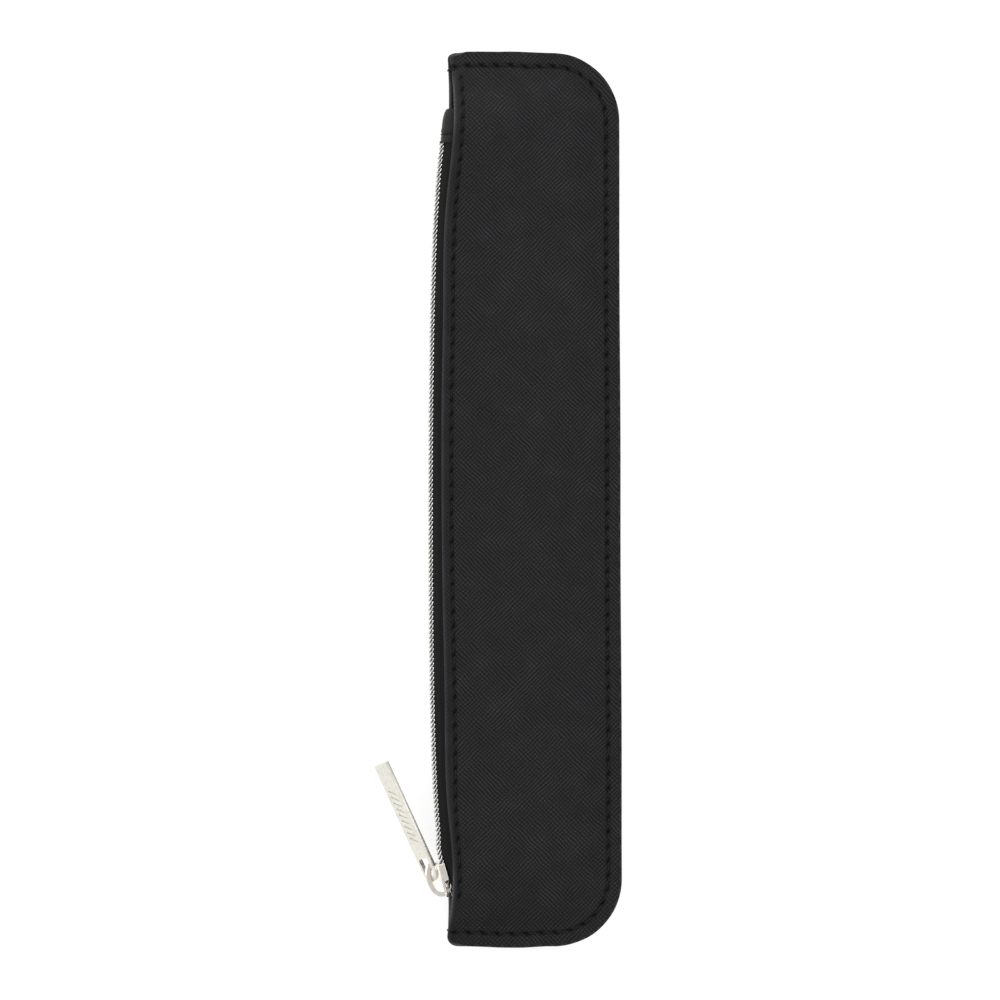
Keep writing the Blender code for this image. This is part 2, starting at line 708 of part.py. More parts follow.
def make_pull(mat, parts, cutters):
    """Flat bar with a round-ended slot at its near end, origin on the swing axis."""
    radius = PULL_WIDTH / 2
    near = PULL_END + radius
    far = PULL_END + PULL_LENGTH
    chamfer = 0.35 * MM
    outline = []
    for k in range(13):
        a = math.radians(90.0 + 15.0 * k)
        outline.append((near + radius * math.cos(a), radius * math.sin(a)))
    outline += [(far - chamfer, -radius), (far, -radius + chamfer)]
    outline += [(far, radius - chamfer), (far - chamfer, radius)]
    half = PULL_THICKNESS / 2
    bottom = [Vector((l, w, -half)) for l, w in outline]
    top = [Vector((l, w, half)) for l, w in outline]
    obj = add_object("pull_bar", loft("pull_bar", [bottom, top]), mat, parts, smooth_angle=35.0)
    obj.location = PULL_PIVOT
    obj.rotation_mode = "XYZ"
    obj.rotation_euler = (PULL_ROLL, 0.0, PULL_ANGLE)
    bpy.context.view_layer.update()
    hole_radius = SLOT_WIDTH / 2
    hole = []
    for k in range(9):
        a = math.radians(90.0 + 22.5 * k)
        hole.append((SLOT[0] + hole_radius + hole_radius * math.cos(a), hole_radius * math.sin(a)))
    for k in range(9):
        a = math.radians(-90.0 + 22.5 * k)
        hole.append((SLOT[1] - hole_radius + hole_radius * math.cos(a), hole_radius * math.sin(a)))
    low = [Vector((l, w, -2.0 * half)) for l, w in hole]
    high = [Vector((l, w, 2.0 * half)) for l, w in hole]
    boolean(obj, loft("pull_slot", [low, high]), "pull_slot", "DIFFERENCE", cutters)
    return obj


# ---------------------------------------------------------------- assembly
def hang_front(parts):
    """Parent everything that opens with the front panel to its hinge axis."""
    hinge = bpy.data.objects.new("mouth_hinge", None)
    hinge.location = MOUTH_HINGE
    parts.objects.link(hinge)
    bpy.context.view_layer.update()
    for obj in parts.objects:
        if obj.type == "MESH" and "front" in obj.name:
            obj.parent = hinge
            obj.matrix_parent_inverse = hinge.matrix_world.inverted()


def main():
    for obj in list(bpy.data.objects):
        bpy.data.objects.remove(obj, do_unlink=True)
    scene = bpy.context.scene
    parts = bpy.data.collections.new("fountain_pen_case")
    cutters = bpy.data.collections.new("cutters")
    scene.collection.children.link(parts)
    scene.collection.children.link(cutters)

    for side in ("back", "front"):
        make_leather(side, material(f"{side}_leather", LEATHER_BLACK, 0.5), parts)
        make_board(side, material(f"{side}_board", BOARD_BROWN, 0.9), parts)
        make_lining(side, material(f"{side}_lining_cloth", LINING_BLACK, 0.85), parts)
        make_tape(side, material(f"{side}_tape_weave", TAPE_BLACK, 0.9), parts)
        make_coil(side, material(f"{side}_coil_metallised", COIL_SILVER, 0.3, 0.9), parts)
        make_cord(side, material(f"{side}_core_cord", CORD_GREY, 0.9), parts)
        make_top_stop(side, material(f"{side}_stop_metal", STOP_SILVER, 0.3, 1.0), parts)
        zip_thread = material(f"{side}_zip_thread", THREAD_BLACK, 0.6)
        make_thread(f"zip_seam_thread_{side}", zip_seam_path(side), zip_thread, parts)
        rim_thread = material(f"{side}_rim_thread", THREAD_BLACK, 0.6)
        make_thread(f"rim_seam_thread_{side}", rim_seam_path(side), rim_thread, parts)
    make_bottom_stop(material("bottom_stop_metal", STOP_SILVER, 0.3, 1.0), parts)
    make_tab(material("tab_leather", LEATHER_BLACK, 0.5), parts)
    tab_thread = material("tab_thread", THREAD_BLACK, 0.6)
    make_thread("tab_seam_thread", tab_seam_path(), tab_thread, parts, up=Vector((0, 1, 0)))
    make_slider(material("slider_nickel", SLIDER_NICKEL, 0.28, 1.0), parts, cutters)
    make_pull(material("pull_satin_nickel", PULL_NICKEL, 0.32, 1.0), parts, cutters)
    hang_front(parts)


main()
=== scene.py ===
"""Slim zipped leather pen case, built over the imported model. Lengths are in millimetres until a mesh is made."""
import math

import bmesh
import bpy
import numpy as np
from mathutils import Matrix, Vector


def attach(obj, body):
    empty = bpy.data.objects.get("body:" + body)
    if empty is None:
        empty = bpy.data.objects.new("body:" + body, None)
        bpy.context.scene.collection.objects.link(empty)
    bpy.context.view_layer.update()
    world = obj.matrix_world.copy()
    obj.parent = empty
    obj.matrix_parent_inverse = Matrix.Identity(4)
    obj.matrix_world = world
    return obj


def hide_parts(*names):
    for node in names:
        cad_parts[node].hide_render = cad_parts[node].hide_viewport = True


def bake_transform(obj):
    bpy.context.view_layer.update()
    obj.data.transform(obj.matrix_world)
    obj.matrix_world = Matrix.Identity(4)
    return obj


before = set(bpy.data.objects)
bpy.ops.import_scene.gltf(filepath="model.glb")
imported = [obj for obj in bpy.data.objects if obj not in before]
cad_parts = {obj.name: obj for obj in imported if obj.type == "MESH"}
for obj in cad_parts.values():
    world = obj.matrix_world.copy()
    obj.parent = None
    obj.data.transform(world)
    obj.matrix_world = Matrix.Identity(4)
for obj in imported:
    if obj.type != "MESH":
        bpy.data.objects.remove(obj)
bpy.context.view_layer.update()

MM = 0.001
HALF_LENGTH, SPINE_X, CORNER_RADIUS = 107.5, 20.9, 16.3
STRAIGHT = HALF_LENGTH - CORNER_RADIUS
ARC_X = SPINE_X - CORNER_RADIUS
SIGN = {"front": 1.0, "back": -1.0}  # the way each side faces
BODY = {"front": "front", "back": "case_back"}  # what each side rides on, as place() reads it
# The turned edge at its fullest, and what its waists take off: depth, centre, width.
FOLD = {"front": -22.45, "back": -22.3}
WAISTS = {
    "front": ((3.05, 93.0, 21.4), (2.5, -91.0, 17.0), (0.8, -55.0, 32.0), (0.4, 48.0, 18.0)),
    "back": ((1.6, 97.0, 20.0), (1.4, -99.0, 17.0), (0.4, -55.0, 32.0)),
}
FOLD_CORNERS = (1.4, 2.6)  # corner radii of the turned edge, top and bottom
RIM_Z, CASE_Z, RIM_LIFT, RIM_WIDTH, MID_RIM_Z = 4.5, 10.6, 1.2, 4.5, 2.85
LEATHER, HEM_LEATHER, BOARD, LINING, TAPE, PAINT_DEPTH = 0.7, 0.5, 0.34, 0.25, 0.4, 3.4
HEM_WIDTH, HEM_ROLL = 8.0, 0.8
SEAM_INSET = 3.3
RIM_LAP = 0.1  # the two painted edges are glued, so no light passes between them when the mouth opens
STITCH_LEAN, HOLE_WIDTH, HOLE_LENGTH, HOLE_DEPTH = 0.3, 0.32, 0.7, 0.42
RIM_PITCH, ZIP_PITCH = 3.48, 3.39
ZIP_SEAM_Y = (-97.0, 102.4)
THREAD, TACK_THREAD, SEWING_THREAD = 0.2, 0.26, 0.11  # radii
STITCH_TAPER = (0.75, 0.9, 1, 1, 1, 1, 1, 1, 1, 0.9, 0.75)
COIL_PITCH, FILAMENT, CORE_CORD = 1.13, 0.215, 0.17  # the last two are radii
CHAIN_MIDDLE_X, CHAIN_ROW, SEWING_ROW = -25.05, 0.82, 1.5  # the rows stand this far from the chain's middle
COIL_HEEL = 1.85  # how far one heel runs along the chain, in pitches
TAB_SEAM_Y, TAB_STITCHES, TAB_STRIP_Y = 87.75, 7, 86.5
TAB_RIDGES = ((0.28, 88.6, 0.5), (-0.22, TAB_SEAM_Y, 0.35), (0.2, 86.9, 0.45))  # height, place, width
SLIDER_CENTRE, SLIDER_TILT = (-20.9, -91.2, 5.05), math.radians(16.0)
OUTER_PLATE, INNER_PLATE, WEDGE, FLANGE = (-1.65, -1.02), (1.05, 1.65), (-1.3, 1.3), (-1.5, 0.26)
CROWN_HALF_WIDTH = 0.5
PULL_WIDTH, PULL_LENGTH, PULL_START, PULL_THICK = 5.3, 31.0, -0.6, 1.0
RULES, RULE_START, RULE_STEP, RULE_WIDTH, RULE_LEAN, RULE_HALF = 9, 10.4, 1.55, 0.4, 1.5, 1.35
PIVOT, PULL_ANGLE, PULL_ROLL = (-24.4, -91.2, 5.05), math.radians(114.5), math.radians(-54.0)
LENS_TOP = ((0.0, 0.088, 0.0), (0.0, 0.010, 0.0))
LENS_BOTTOM = ((0.0, -0.097, 0.0), (0.0, -0.010, 0.0))


# ------------------------------------------------------------------ shape of the case
def clamp(s):
    return np.clip(s, 0.0, 1.0)


def signed_power(s, power):
    return np.sign(s) * np.abs(s) ** power


def smooth(s):
    s = clamp(s)
    return s * s * (3 - 2 * s)


def ease_out(s, soft=0.0):
    s = np.asarray(s, float)
    if soft:
        s = 0.5 * (s + np.sqrt(s * s + soft * soft))
    return 1 - (1 - clamp(s)) ** 2


def fold_x(y, side="front"):
    return FOLD[side] + sum(d * np.exp(-(((y - c) / w) ** 2)) for d, c, w in WAISTS[side])


def left_x(y, side):
    """Edge of the turned leather, with its small corners."""
    y = np.asarray(y, float)
    r = np.where(y > 0, FOLD_CORNERS[0], FOLD_CORNERS[1])
    over = np.clip(np.abs(y) - (HALF_LENGTH - r), 0, r)
    return fold_x(y, side) + r - np.sqrt(np.maximum(r * r - over * over, 0))


def zip_seam_inset(y):
    return 2.4 - 0.7 * smooth((-62 - y) / 20) - 0.25 * smooth((y - 70) / 20)


def spine_x(y, inset=0.0):
    r = CORNER_RADIUS - inset
    over = np.clip(np.abs(y) - STRAIGHT, 0, r)
    return SPINE_X - inset - r + np.sqrt(np.maximum(r * r - over * over, 0))


def outer(side, x, y):
    """Height of the leather's outside."""
    dx, dy = SPINE_X - x, HALF_LENGTH - np.abs(y)
    if side == "back":
        near = ease_out(dx / 12) * ease_out(dy / 12) * ease_out((x - fold_x(y, "back")) / 7 + 0.35)
        return RIM_LIFT * (1 - near)
    across = ease_out((dx - RIM_WIDTH) / 36, 0.03)
    along = ease_out((dy - RIM_WIDTH) / 16, 0.06)
    dome = 0.16 * np.sin(0.055 * y + 0.6) * np.sin(0.1 * x + 1.0) * smooth(dx / 16) * smooth(dy / 20)
    return RIM_Z + (CASE_Z - RIM_Z) * across * along + dome * smooth((x - fold_x(y)) / 8)


def board_share(x, y):
    return smooth((np.minimum(SPINE_X - x, HALF_LENGTH - np.abs(y)) - 4.5) / 3.5)


def hem_depth(x, y):
    return 0.78 + 0.48 * board_share(x, y)


def inside(side, x, y, depth):
    z = outer(side, x, y)
    return z - depth if side == "front" else z + depth


def warp(p, side=None):
    """The hand-cut outline isn't quite straight: the spine drifts, the top edge has a low step, the bottom a bulge."""
    x, y, z = p[..., 0], p[..., 1], p[..., 2]
    share = clamp((x - FOLD["front"]) / 42.0)
    drift = -0.27 - 0.42 * y / HALF_LENGTH + 0.05 * np.sin(y * 0.09)
    step = 0.3 * smooth((x + 17.6) / 1.2) * smooth((-2.2 - x) / 1.6) * smooth((y - 97) / 9)
    if side == "back":
        step = step * 0.4
    step = step - 0.42 * np.exp(-(((x + 5.5) / 6.5) ** 2)) * smooth((-y - 94) / 11)
    return np.stack([x + drift * share, y + step + 0.03 * np.sin(x * 0.8) * smooth((np.abs(y) - 95) / 10), z], -1)


def chain_middle(y):
    return 0.5 * (outer("front", fold_x(y), y) + outer("back", fold_x(y, "back"), y))


def chain_x(y):
    y = np.asarray(y, float)
    t = np.abs(y) / 86
    bowed = CHAIN_MIDDLE_X + np.where(y > 0, 1.5 * t**2 + 1.3 * t**6, 1.1 * t**2 + 1.4 * t**6)
    line = SLIDER_CENTRE[0] - (y - SLIDER_CENTRE[1]) * math.tan(SLIDER_TILT) - 0.3 + 0.5 * smooth((-91.5 - y) / 3)
    return bowed + (line - bowed) * smooth((-80 - y) / 7)


def chain_z(y):
    return chain_middle(y) + (SLIDER_CENTRE[2] - chain_middle(y)) * smooth((-84 - y) / 3)


def chain_spread(y):
    return 0.75 * smooth((-91.2 - y) / 3.6)


def rim_coordinates(x, y):
    """(distance along the seam from the middle of the spine, distance inside of it)."""
    a = np.abs(y)
    r = CORNER_RADIUS - SEAM_INSET
    angle = np.arctan2(a - STRAIGHT, x - ARC_X)
    along_arc = STRAIGHT + r * np.clip(angle, 0, math.pi / 2)
    along = np.where(a <= STRAIGHT, a, along_arc)
    across = np.where(a <= STRAIGHT, SPINE_X - SEAM_INSET - x, r - np.hypot(x - ARC_X, a - STRAIGHT))
    top = (x < ARC_X) & (a > STRAIGHT)
    along = np.where(top, STRAIGHT + r * math.pi / 2 + ARC_X - x, along)
    across = np.where(top, HALF_LENGTH - SEAM_INSET - a, across)
    inner = (a <= STRAIGHT) & (x < ARC_X)
    return along, np.where(inner, 99.0, across)


def rim_point(along, across, sign):
    """Inverse of rim_coordinates."""
    r = CORNER_RADIUS - SEAM_INSET
    arc = r * math.pi / 2
    angle = np.clip((along - STRAIGHT) / r, 0, math.pi / 2)
    x = ARC_X + (r - across) * np.cos(angle)
    y = STRAIGHT + (r - across) * np.sin(angle)
    y = np.where(along <= STRAIGHT, along, y)
    beyond = np.maximum(along - STRAIGHT - arc, 0)
    return x - beyond, y * sign


def from_hole(along, pitch):
    return (along + pitch / 2) % pitch - pitch / 2


def stitch_hole(across, near, lean):
    return np.exp(-(((across + lean * near) / HOLE_WIDTH) ** 2) - ((near - lean * across) / HOLE_LENGTH) ** 2)


def seam_marks(side, x, y):
    """For both seams: distance across, and how much of a stitch hole is here. live is where the zip seam runs."""
    along, across = rim_coordinates(x, y)
    rim_hole = stitch_hole(across, from_hole(along, RIM_PITCH), STITCH_LEAN * np.sign(y + 1e-9))
    s = x - fold_x(y, side) - zip_seam_inset(y)
    live = smooth(y - ZIP_SEAM_Y[0]) * smooth(ZIP_SEAM_Y[1] - y)
    zip_hole = live * stitch_hole(s, from_hole(y, ZIP_PITCH), -STITCH_LEAN)
    return across, rim_hole, s, zip_hole, live


def relief(side, x, y):
    """Seam channels, stitch holes and the soft swell beside them, as a height."""
    across, rim_hole, s, zip_hole, live = seam_marks(side, x, y)
    channel = -0.1 * np.exp(-((across / 0.4) ** 2)) - 0.1 * live * np.exp(-((s / 0.4) ** 2))
    swell = 0.06 * np.exp(-(((np.abs(across) - 1.1) / 0.6) ** 2)) + 0.08 * live * np.exp(-(((s - 1.2) / 0.8) ** 2))
    return channel + swell - HOLE_DEPTH * np.maximum(rim_hole, zip_hole)


# ------------------------------------------------------------------ meshes
def plain_object(name, points, faces):
    """An object with its faces turned outwards."""
    mesh = bpy.data.meshes.new(name)
    mesh.from_pydata(points.tolist(), [], faces)
    bm = bmesh.new()
    bm.from_mesh(mesh)
    bmesh.ops.recalc_face_normals(bm, faces=bm.faces)
    bm.to_mesh(mesh)
    bm.free()
    obj = bpy.data.objects.new(name, mesh)
    bpy.context.scene.collection.objects.link(obj)
    return obj


def mesh_object(name, points, faces, mat, attributes, crease):
    obj = plain_object(name, points * MM, faces)
    mesh = obj.data
    for key, values in attributes.items():
        layer = mesh.attributes.new(key, "FLOAT", "POINT")
        layer.data.foreach_set("value", np.asarray(values, np.float32))
    mesh.polygons.foreach_set("use_smooth", [True] * len(mesh.polygons))
    mesh.set_sharp_from_angle(angle=math.radians(crease))
    mesh.materials.append(mat)
    return obj


def take(points, faces, attributes, keep):
    """The faces to keep, with only the points that they use."""
    kept = [f for f, k in zip(faces, keep) if k]
    used = np.unique(np.fromiter((i for f in kept for i in f), int))
    renumber = np.full(len(points), -1)
    renumber[used] = np.arange(len(used))
    return points[used], [[int(renumber[i]) for i in f] for f in kept], {k: v[used] for k, v in attributes.items()}


def place(name, points, faces, mat, body, nodes, attributes=None, crease=42.0, cut=None):
    """A piece on one body; on "front" it is instead two halves, split across the middle of its length.

    cut is the ring of points where the halves of a cloth meet, which closes both.
    """
    points = np.asarray(points, float).reshape(-1, 3)
    faces = [list(map(int, f)) for f in faces]
    attributes = {k: np.asarray(v, float).reshape(-1) for k, v in (attributes or {}).items()}
    if body != "front":
        obj = mesh_object(name, points, faces, mat, attributes, crease)
        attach(obj, body)
        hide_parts(*nodes)
        return [obj]
    middle = np.array([points[f[0], 1] + points[f[len(f) // 2], 1] for f in faces])
    made = []
    if cut is not None:
        faces.append(cut)
    for tag, keep, lens in (("upper", middle >= 0, LENS_TOP), ("lower", middle < 0, LENS_BOTTOM)):
        keep = list(keep) + [True] * (len(faces) - len(keep))
        p, f, a = take(points, faces, attributes, keep)
        obj = mesh_object(f"{name}_{tag}", p, f, mat, a, crease)
        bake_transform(obj)
        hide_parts(*nodes)
        made.append(obj)
    return made


def ring(row, columns):
    return [row * columns + i for i in range(columns)]


def middle_ring(y, columns):
    return ring(int(np.argmin(np.abs(y))), columns)


def closed_faces(rows, columns):
    """Faces of a closed tube of sections, with its two ends."""
    r, c = np.meshgrid(np.arange(rows - 1), np.arange(columns), indexing="ij")
    d = (c + 1) % columns
    quads = np.stack([r * columns + c, r * columns + d, (r + 1) * columns + d, (r + 1) * columns + c], -1)
    return quads.reshape(-1, 4).tolist() + [ring(0, columns), ring(rows - 1, columns)]


def tubes(paths, radius, sides=8, flat=1.0, twist=None):
    """One closed tube for each of a stack of paths, shape (count, points, 3)."""
    count, length = paths.shape[:2]
    tangent = np.gradient(paths, axis=1)
    tangent /= np.linalg.norm(tangent, axis=2, keepdims=True)
    up = np.array([0.0, 0.0, 1.0]) if twist is None else np.asarray(twist, float)
    across = np.cross(tangent, up)
    across /= np.linalg.norm(across, axis=2, keepdims=True)
    lift = np.cross(across, tangent)
    angle = np.arange(sides) * 2 * math.pi / sides
    radius = np.broadcast_to(radius, (length,))[None, :, None, None]
    cos, sin = np.cos(angle)[:, None], np.sin(angle)[:, None]
    section = cos * across[:, :, None] + flat * sin * lift[:, :, None]
    points = (paths[:, :, None] + radius * section).reshape(-1, 3)
    one = closed_faces(length, sides)
    faces = [[i + n * length * sides for i in f] for n in range(count) for f in one]
    return points, faces


def joined(*parts):
    """Several (points, faces) as one."""
    points, faces, start = [], [], 0
    for p, f in parts:
        p = np.asarray(p, float).reshape(-1, 3)
        points.append(p)
        faces += [[i + start for i in face] for face in f]
        start += len(p)
    return np.concatenate(points), faces


# ------------------------------------------------------------------ materials
def material(name, colour, roughness, metallic=0.0, **sockets):
    mat = bpy.data.materials.new(name)
    mat.use_nodes = True
    tree = mat.node_tree
    shader = tree.nodes["Principled BSDF"]
    shader.inputs["Base Color"].default_value = (*colour, 1.0)
    shader.inputs["Roughness"].default_value = roughness
    shader.inputs["Metallic"].default_value = metallic
    for key, value in sockets.items():
        shader.inputs[key.replace("_", " ")].default_value = value
    return mat, tree, shader


def coordinates(tree, turn=0.0, stretch=(1.0, 1.0, 1.0)):
    """Object coordinates in millimetres, turned about Z."""
    source = tree.nodes.new("ShaderNodeTexCoord")
    mapping = tree.nodes.new("ShaderNodeMapping")
    mapping.vector_type = "TEXTURE"
    mapping.inputs["Rotation"].default_value = (0, 0, math.radians(turn))
    mapping.inputs["Scale"].default_value = [MM / s for s in stretch]
    tree.links.new(source.outputs["Object"], mapping.inputs["Vector"])
    return mapping.outputs["Vector"]


def wave(tree, vector, period, distortion=0.0, detail_scale=1.0, axis="X"):
    node = tree.nodes.new("ShaderNodeTexWave")
    node.bands_direction = axis
    node.inputs["Scale"].default_value = 2 * math.pi / 20 / period
    node.inputs["Distortion"].default_value = distortion
    node.inputs["Detail"].default_value = 1.0
    node.inputs["Detail Scale"].default_value = detail_scale
    tree.links.new(vector, node.inputs["Vector"])
    return node.outputs["Fac"]


def noise(tree, vector, size, detail=2.0, rough=0.5):
    node = tree.nodes.new("ShaderNodeTexNoise")
    node.inputs["Scale"].default_value = 1 / size
    node.inputs["Detail"].default_value = detail
    node.inputs["Roughness"].default_value = rough
    tree.links.new(vector, node.inputs["Vector"])
    return node.outputs["Fac"]


def math_node(tree, operation, a, b=None, c=None):
    node = tree.nodes.new("ShaderNodeMath")
    node.operation = operation
    for socket, value in zip(node.inputs, (a, b, c)):
        if value is None:
            continue
        if isinstance(value, (int, float)):
            socket.default_value = value
        else:
            tree.links.new(value, socket)
    return node.outputs[0]


def ramp(tree, value, *stops):
    node = tree.nodes.new("ShaderNodeValToRGB")
    elements = node.color_ramp.elements
    while len(elements) < len(stops):
        elements.new(0.5)
    for element, (at, colour) in zip(elements, stops):
        element.position = at
        element.color = (*colour, 1.0)
    tree.links.new(value, node.inputs["Fac"])
    return node.outputs["Color"]


def attribute(tree, name):
    node = tree.nodes.new("ShaderNodeAttribute")
    node.attribute_name = name
    return node.outputs["Fac"]


def bump(tree, shader, height, distance, strength):
    node = tree.nodes.new("ShaderNodeBump")
    node.inputs["Distance"].default_value = distance * MM
    if isinstance(strength, (int, float)):
        node.inputs["Strength"].default_value = strength
    else:
        tree.links.new(strength, node.inputs["Strength"])
    tree.links.new(height, node.inputs["Height"])
    tree.links.new(node.outputs["Normal"], shader.inputs["Normal"])


def link(tree, output, shader, socket):
    tree.links.new(output, shader.inputs[socket])


def leather_material():
    """Cross-grain embossed hide: two families of fine ridges at 45 degrees, each fading in and out."""
    mat, tree, shader = material("case_leather", (0.014, 0.014, 0.015), 0.55, Specular_IOR_Level=0.2)
    drift = noise(tree, coordinates(tree), 6.0, 2.0)
    a = wave(tree, coordinates(tree, 45), 0.78, 3.4, 0.8)
    b = wave(tree, coordinates(tree, -45), 0.75, 3.4, 0.75)
    share = math_node(tree, "MULTIPLY_ADD", noise(tree, coordinates(tree), 8.0, 2.0), 2.4, -0.7)
    share = math_node(tree, "MINIMUM", math_node(tree, "MAXIMUM", share, 0.2), 0.8)
    other = math_node(tree, "SUBTRACT", 1.0, share)
    both = math_node(tree, "ADD", math_node(tree, "MULTIPLY", a, share), math_node(tree, "MULTIPLY", b, other))
    pebble = noise(tree, coordinates(tree), 0.2, 3.0, 0.6)
    grain = math_node(tree, "MULTIPLY_ADD", pebble, 0.5, both)
    # edge mask: smooth hem and cut rim with fainter grain, and also the source of the painted highlight along the roll
    # of the turned edge
    smooth_hem_and_highlight = attribute(tree, "edge")
    contrast = math_node(tree, "MULTIPLY_ADD", smooth_hem_and_highlight, -0.9, 0.96)
    even = math_node(tree, "MULTIPLY_ADD", smooth_hem_and_highlight, 0.72, -0.6)
    strength = math_node(tree, "MULTIPLY_ADD", smooth_hem_and_highlight, -0.6, 1.0)
    bump(tree, shader, grain, 0.2, strength)
    hollow = attribute(tree, "hollow")
    # painted highlight: a thin light line along the roll of the turned edge, taken from the top of the edge mask
    painted_fold_highlight = math_node(tree, "POWER", smooth_hem_and_highlight, 16.0)
    tone = math_node(tree, "MULTIPLY_ADD", drift, 0.38, math_node(tree, "MULTIPLY_ADD", grain, contrast, even))
    tone = math_node(tree, "MULTIPLY_ADD", painted_fold_highlight, 0.6, tone)
    # painted shade: stitch holes and, more faintly, the seam channels are darkened in the colour
    tone = math_node(tree, "MULTIPLY_ADD", hollow, -1.6, tone)
    stops = (
        (0.0, (0.0012, 0.0012, 0.0014)), (0.28, (0.0035, 0.0034, 0.004)),
        (0.72, (0.019, 0.0185, 0.021)), (1.0, (0.05, 0.05, 0.055)),
    )
    link(tree, ramp(tree, tone, *stops), shader, "Base Color")
    worn = noise(tree, coordinates(tree), 1.6, 3.0)
    rough = math_node(tree, "MULTIPLY_ADD", worn, 0.18, 0.44)
    link(tree, math_node(tree, "MULTIPLY_ADD", hollow, 0.35, rough), shader, "Roughness")
    return mat


def edge_material():
    mat, tree, shader = material("edge_paint", (0.02, 0.02, 0.021), 0.42, Specular_IOR_Level=0.3)
    grain = noise(tree, coordinates(tree), 0.5, 3.0)
    bump(tree, shader, grain, 0.05, 0.5)
    broad = noise(tree, coordinates(tree), 5.0, 2.0)
    link(tree, ramp(tree, broad, (0.3, (0.012, 0.012, 0.0125)), (0.7, (0.022, 0.022, 0.023))), shader, "Base Color")
    link(tree, math_node(tree, "MULTIPLY_ADD", grain, 0.25, 0.3), shader, "Roughness")
    return mat


def thread_material():
    mat, tree, shader = material("seam_thread", (0.006, 0.006, 0.0065), 0.62, Specular_IOR_Level=0.2)
    ply = wave(tree, coordinates(tree, 32), 0.32)
    bump(tree, shader, ply, 0.06, 0.8)
    link(tree, ramp(tree, ply, (0.1, (0.003, 0.003, 0.0033)), (0.9, (0.01, 0.01, 0.011))), shader, "Base Color")
    return mat


def weave_material(name, dark, light, period, roughness):
    """Plain weave: warp and weft in turn over each other."""
    mat, tree, shader = material(name, dark, roughness, Specular_IOR_Level=0.15)
    warp_threads = wave(tree, coordinates(tree), period, 0.25, 1.0, "X")
    weft = wave(tree, coordinates(tree), period * 0.8, 0.25, 1.0, "Y")
    height_threads = wave(tree, coordinates(tree), period, 0.2, 1.0, "Z")
    over = wave(tree, coordinates(tree, 45), period * 1.41, 0.3, 0.8, "X")
    under = math_node(tree, "MULTIPLY", weft, math_node(tree, "SUBTRACT", 1.0, over))
    woven = math_node(tree, "ADD", math_node(tree, "MULTIPLY", warp_threads, over), under)
    woven = math_node(tree, "MULTIPLY_ADD", height_threads, 0.35, woven)
    bump(tree, shader, woven, 0.05, 0.9)
    fuzz = noise(tree, coordinates(tree), 0.35, 2.0)
    tone = math_node(tree, "MULTIPLY_ADD", fuzz, 0.5, math_node(tree, "MULTIPLY", woven, 0.6))
    link(tree, ramp(tree, tone, (0.15, dark), (0.9, light)), shader, "Base Color")
    link(tree, math_node(tree, "MULTIPLY_ADD", tone, 0.15, roughness - 0.08), shader, "Roughness")
    return mat


def metal_material(name, dark, light, roughness, brushed):
    """Plated metal: fine brushing along the piece, at the angle brushed, faint scratches and handling marks."""
    mat, tree, shader = material(name, light, roughness, 1.0)
    vector = coordinates(tree, brushed, (1.0, 9.0, 9.0))
    lines = noise(tree, vector, 0.9, 3.0, 0.6)
    marks = noise(tree, coordinates(tree), 1.3, 3.0, 0.6)
    link(tree, ramp(tree, marks, (0.3, dark), (0.7, light)), shader, "Base Color")
    mixed = math_node(tree, "MULTIPLY_ADD", lines, 0.14, math_node(tree, "MULTIPLY", marks, 0.1))
    link(tree, math_node(tree, "ADD", mixed, roughness - 0.12), shader, "Roughness")
    bump(tree, shader, lines, 0.0021, 1.0)
    return mat


def board_material():
    mat, tree, shader = material("grey_board", (0.16, 0.15, 0.14), 0.85)
    fibres = noise(tree, coordinates(tree, 20, (1.0, 3.0, 1.0)), 0.6, 4.0, 0.7)
    bump(tree, shader, fibres, 0.04, 0.6)
    link(tree, ramp(tree, fibres, (0.3, (0.11, 0.1, 0.095)), (0.7, (0.2, 0.19, 0.18))), shader, "Base Color")
    return mat


def cord_material():
    mat, tree, shader = material("core_cord", (0.02, 0.02, 0.02), 0.7)
    strands = wave(tree, coordinates(tree), 0.5, 0.4, 1.0, "DIAGONAL")
    bump(tree, shader, strands, 0.08, 0.8)
    link(tree, ramp(tree, strands, (0.1, (0.006, 0.006, 0.006)), (0.9, (0.028, 0.028, 0.028))), shader, "Base Color")
    return mat


def tab_material():
    """Raw-edged strip of the same hide, with a painted olive sheen lightening it along its outer edge."""
    mat, tree, shader = material("tab_leather", (0.03, 0.03, 0.03), 0.7, Specular_IOR_Level=0.2)
    a = wave(tree, coordinates(tree, 40), 0.62, 1.8, 0.5)
    speck = noise(tree, coordinates(tree), 0.3, 3.0, 0.65)
    both = math_node(tree, "MULTIPLY_ADD", speck, 0.9, a)
    bump(tree, shader, both, 0.07, 0.9)
    # painted sheen: the edge mask lightens the tab towards an olive highlight where its outer edge faces sideways
    tab_edge_sheen = attribute(tree, "edge")
    tone = math_node(tree, "MULTIPLY_ADD", tab_edge_sheen, 0.5, math_node(tree, "MULTIPLY", speck, 0.6))
    stops = (
        (0.15, (0.0055, 0.0055, 0.0055)), (0.45, (0.021, 0.021, 0.02)),
        (0.7, (0.066, 0.068, 0.055)), (0.95, (0.19, 0.19, 0.15)),
    )
    link(tree, ramp(tree, tone, *stops), shader, "Base Color")
    return mat


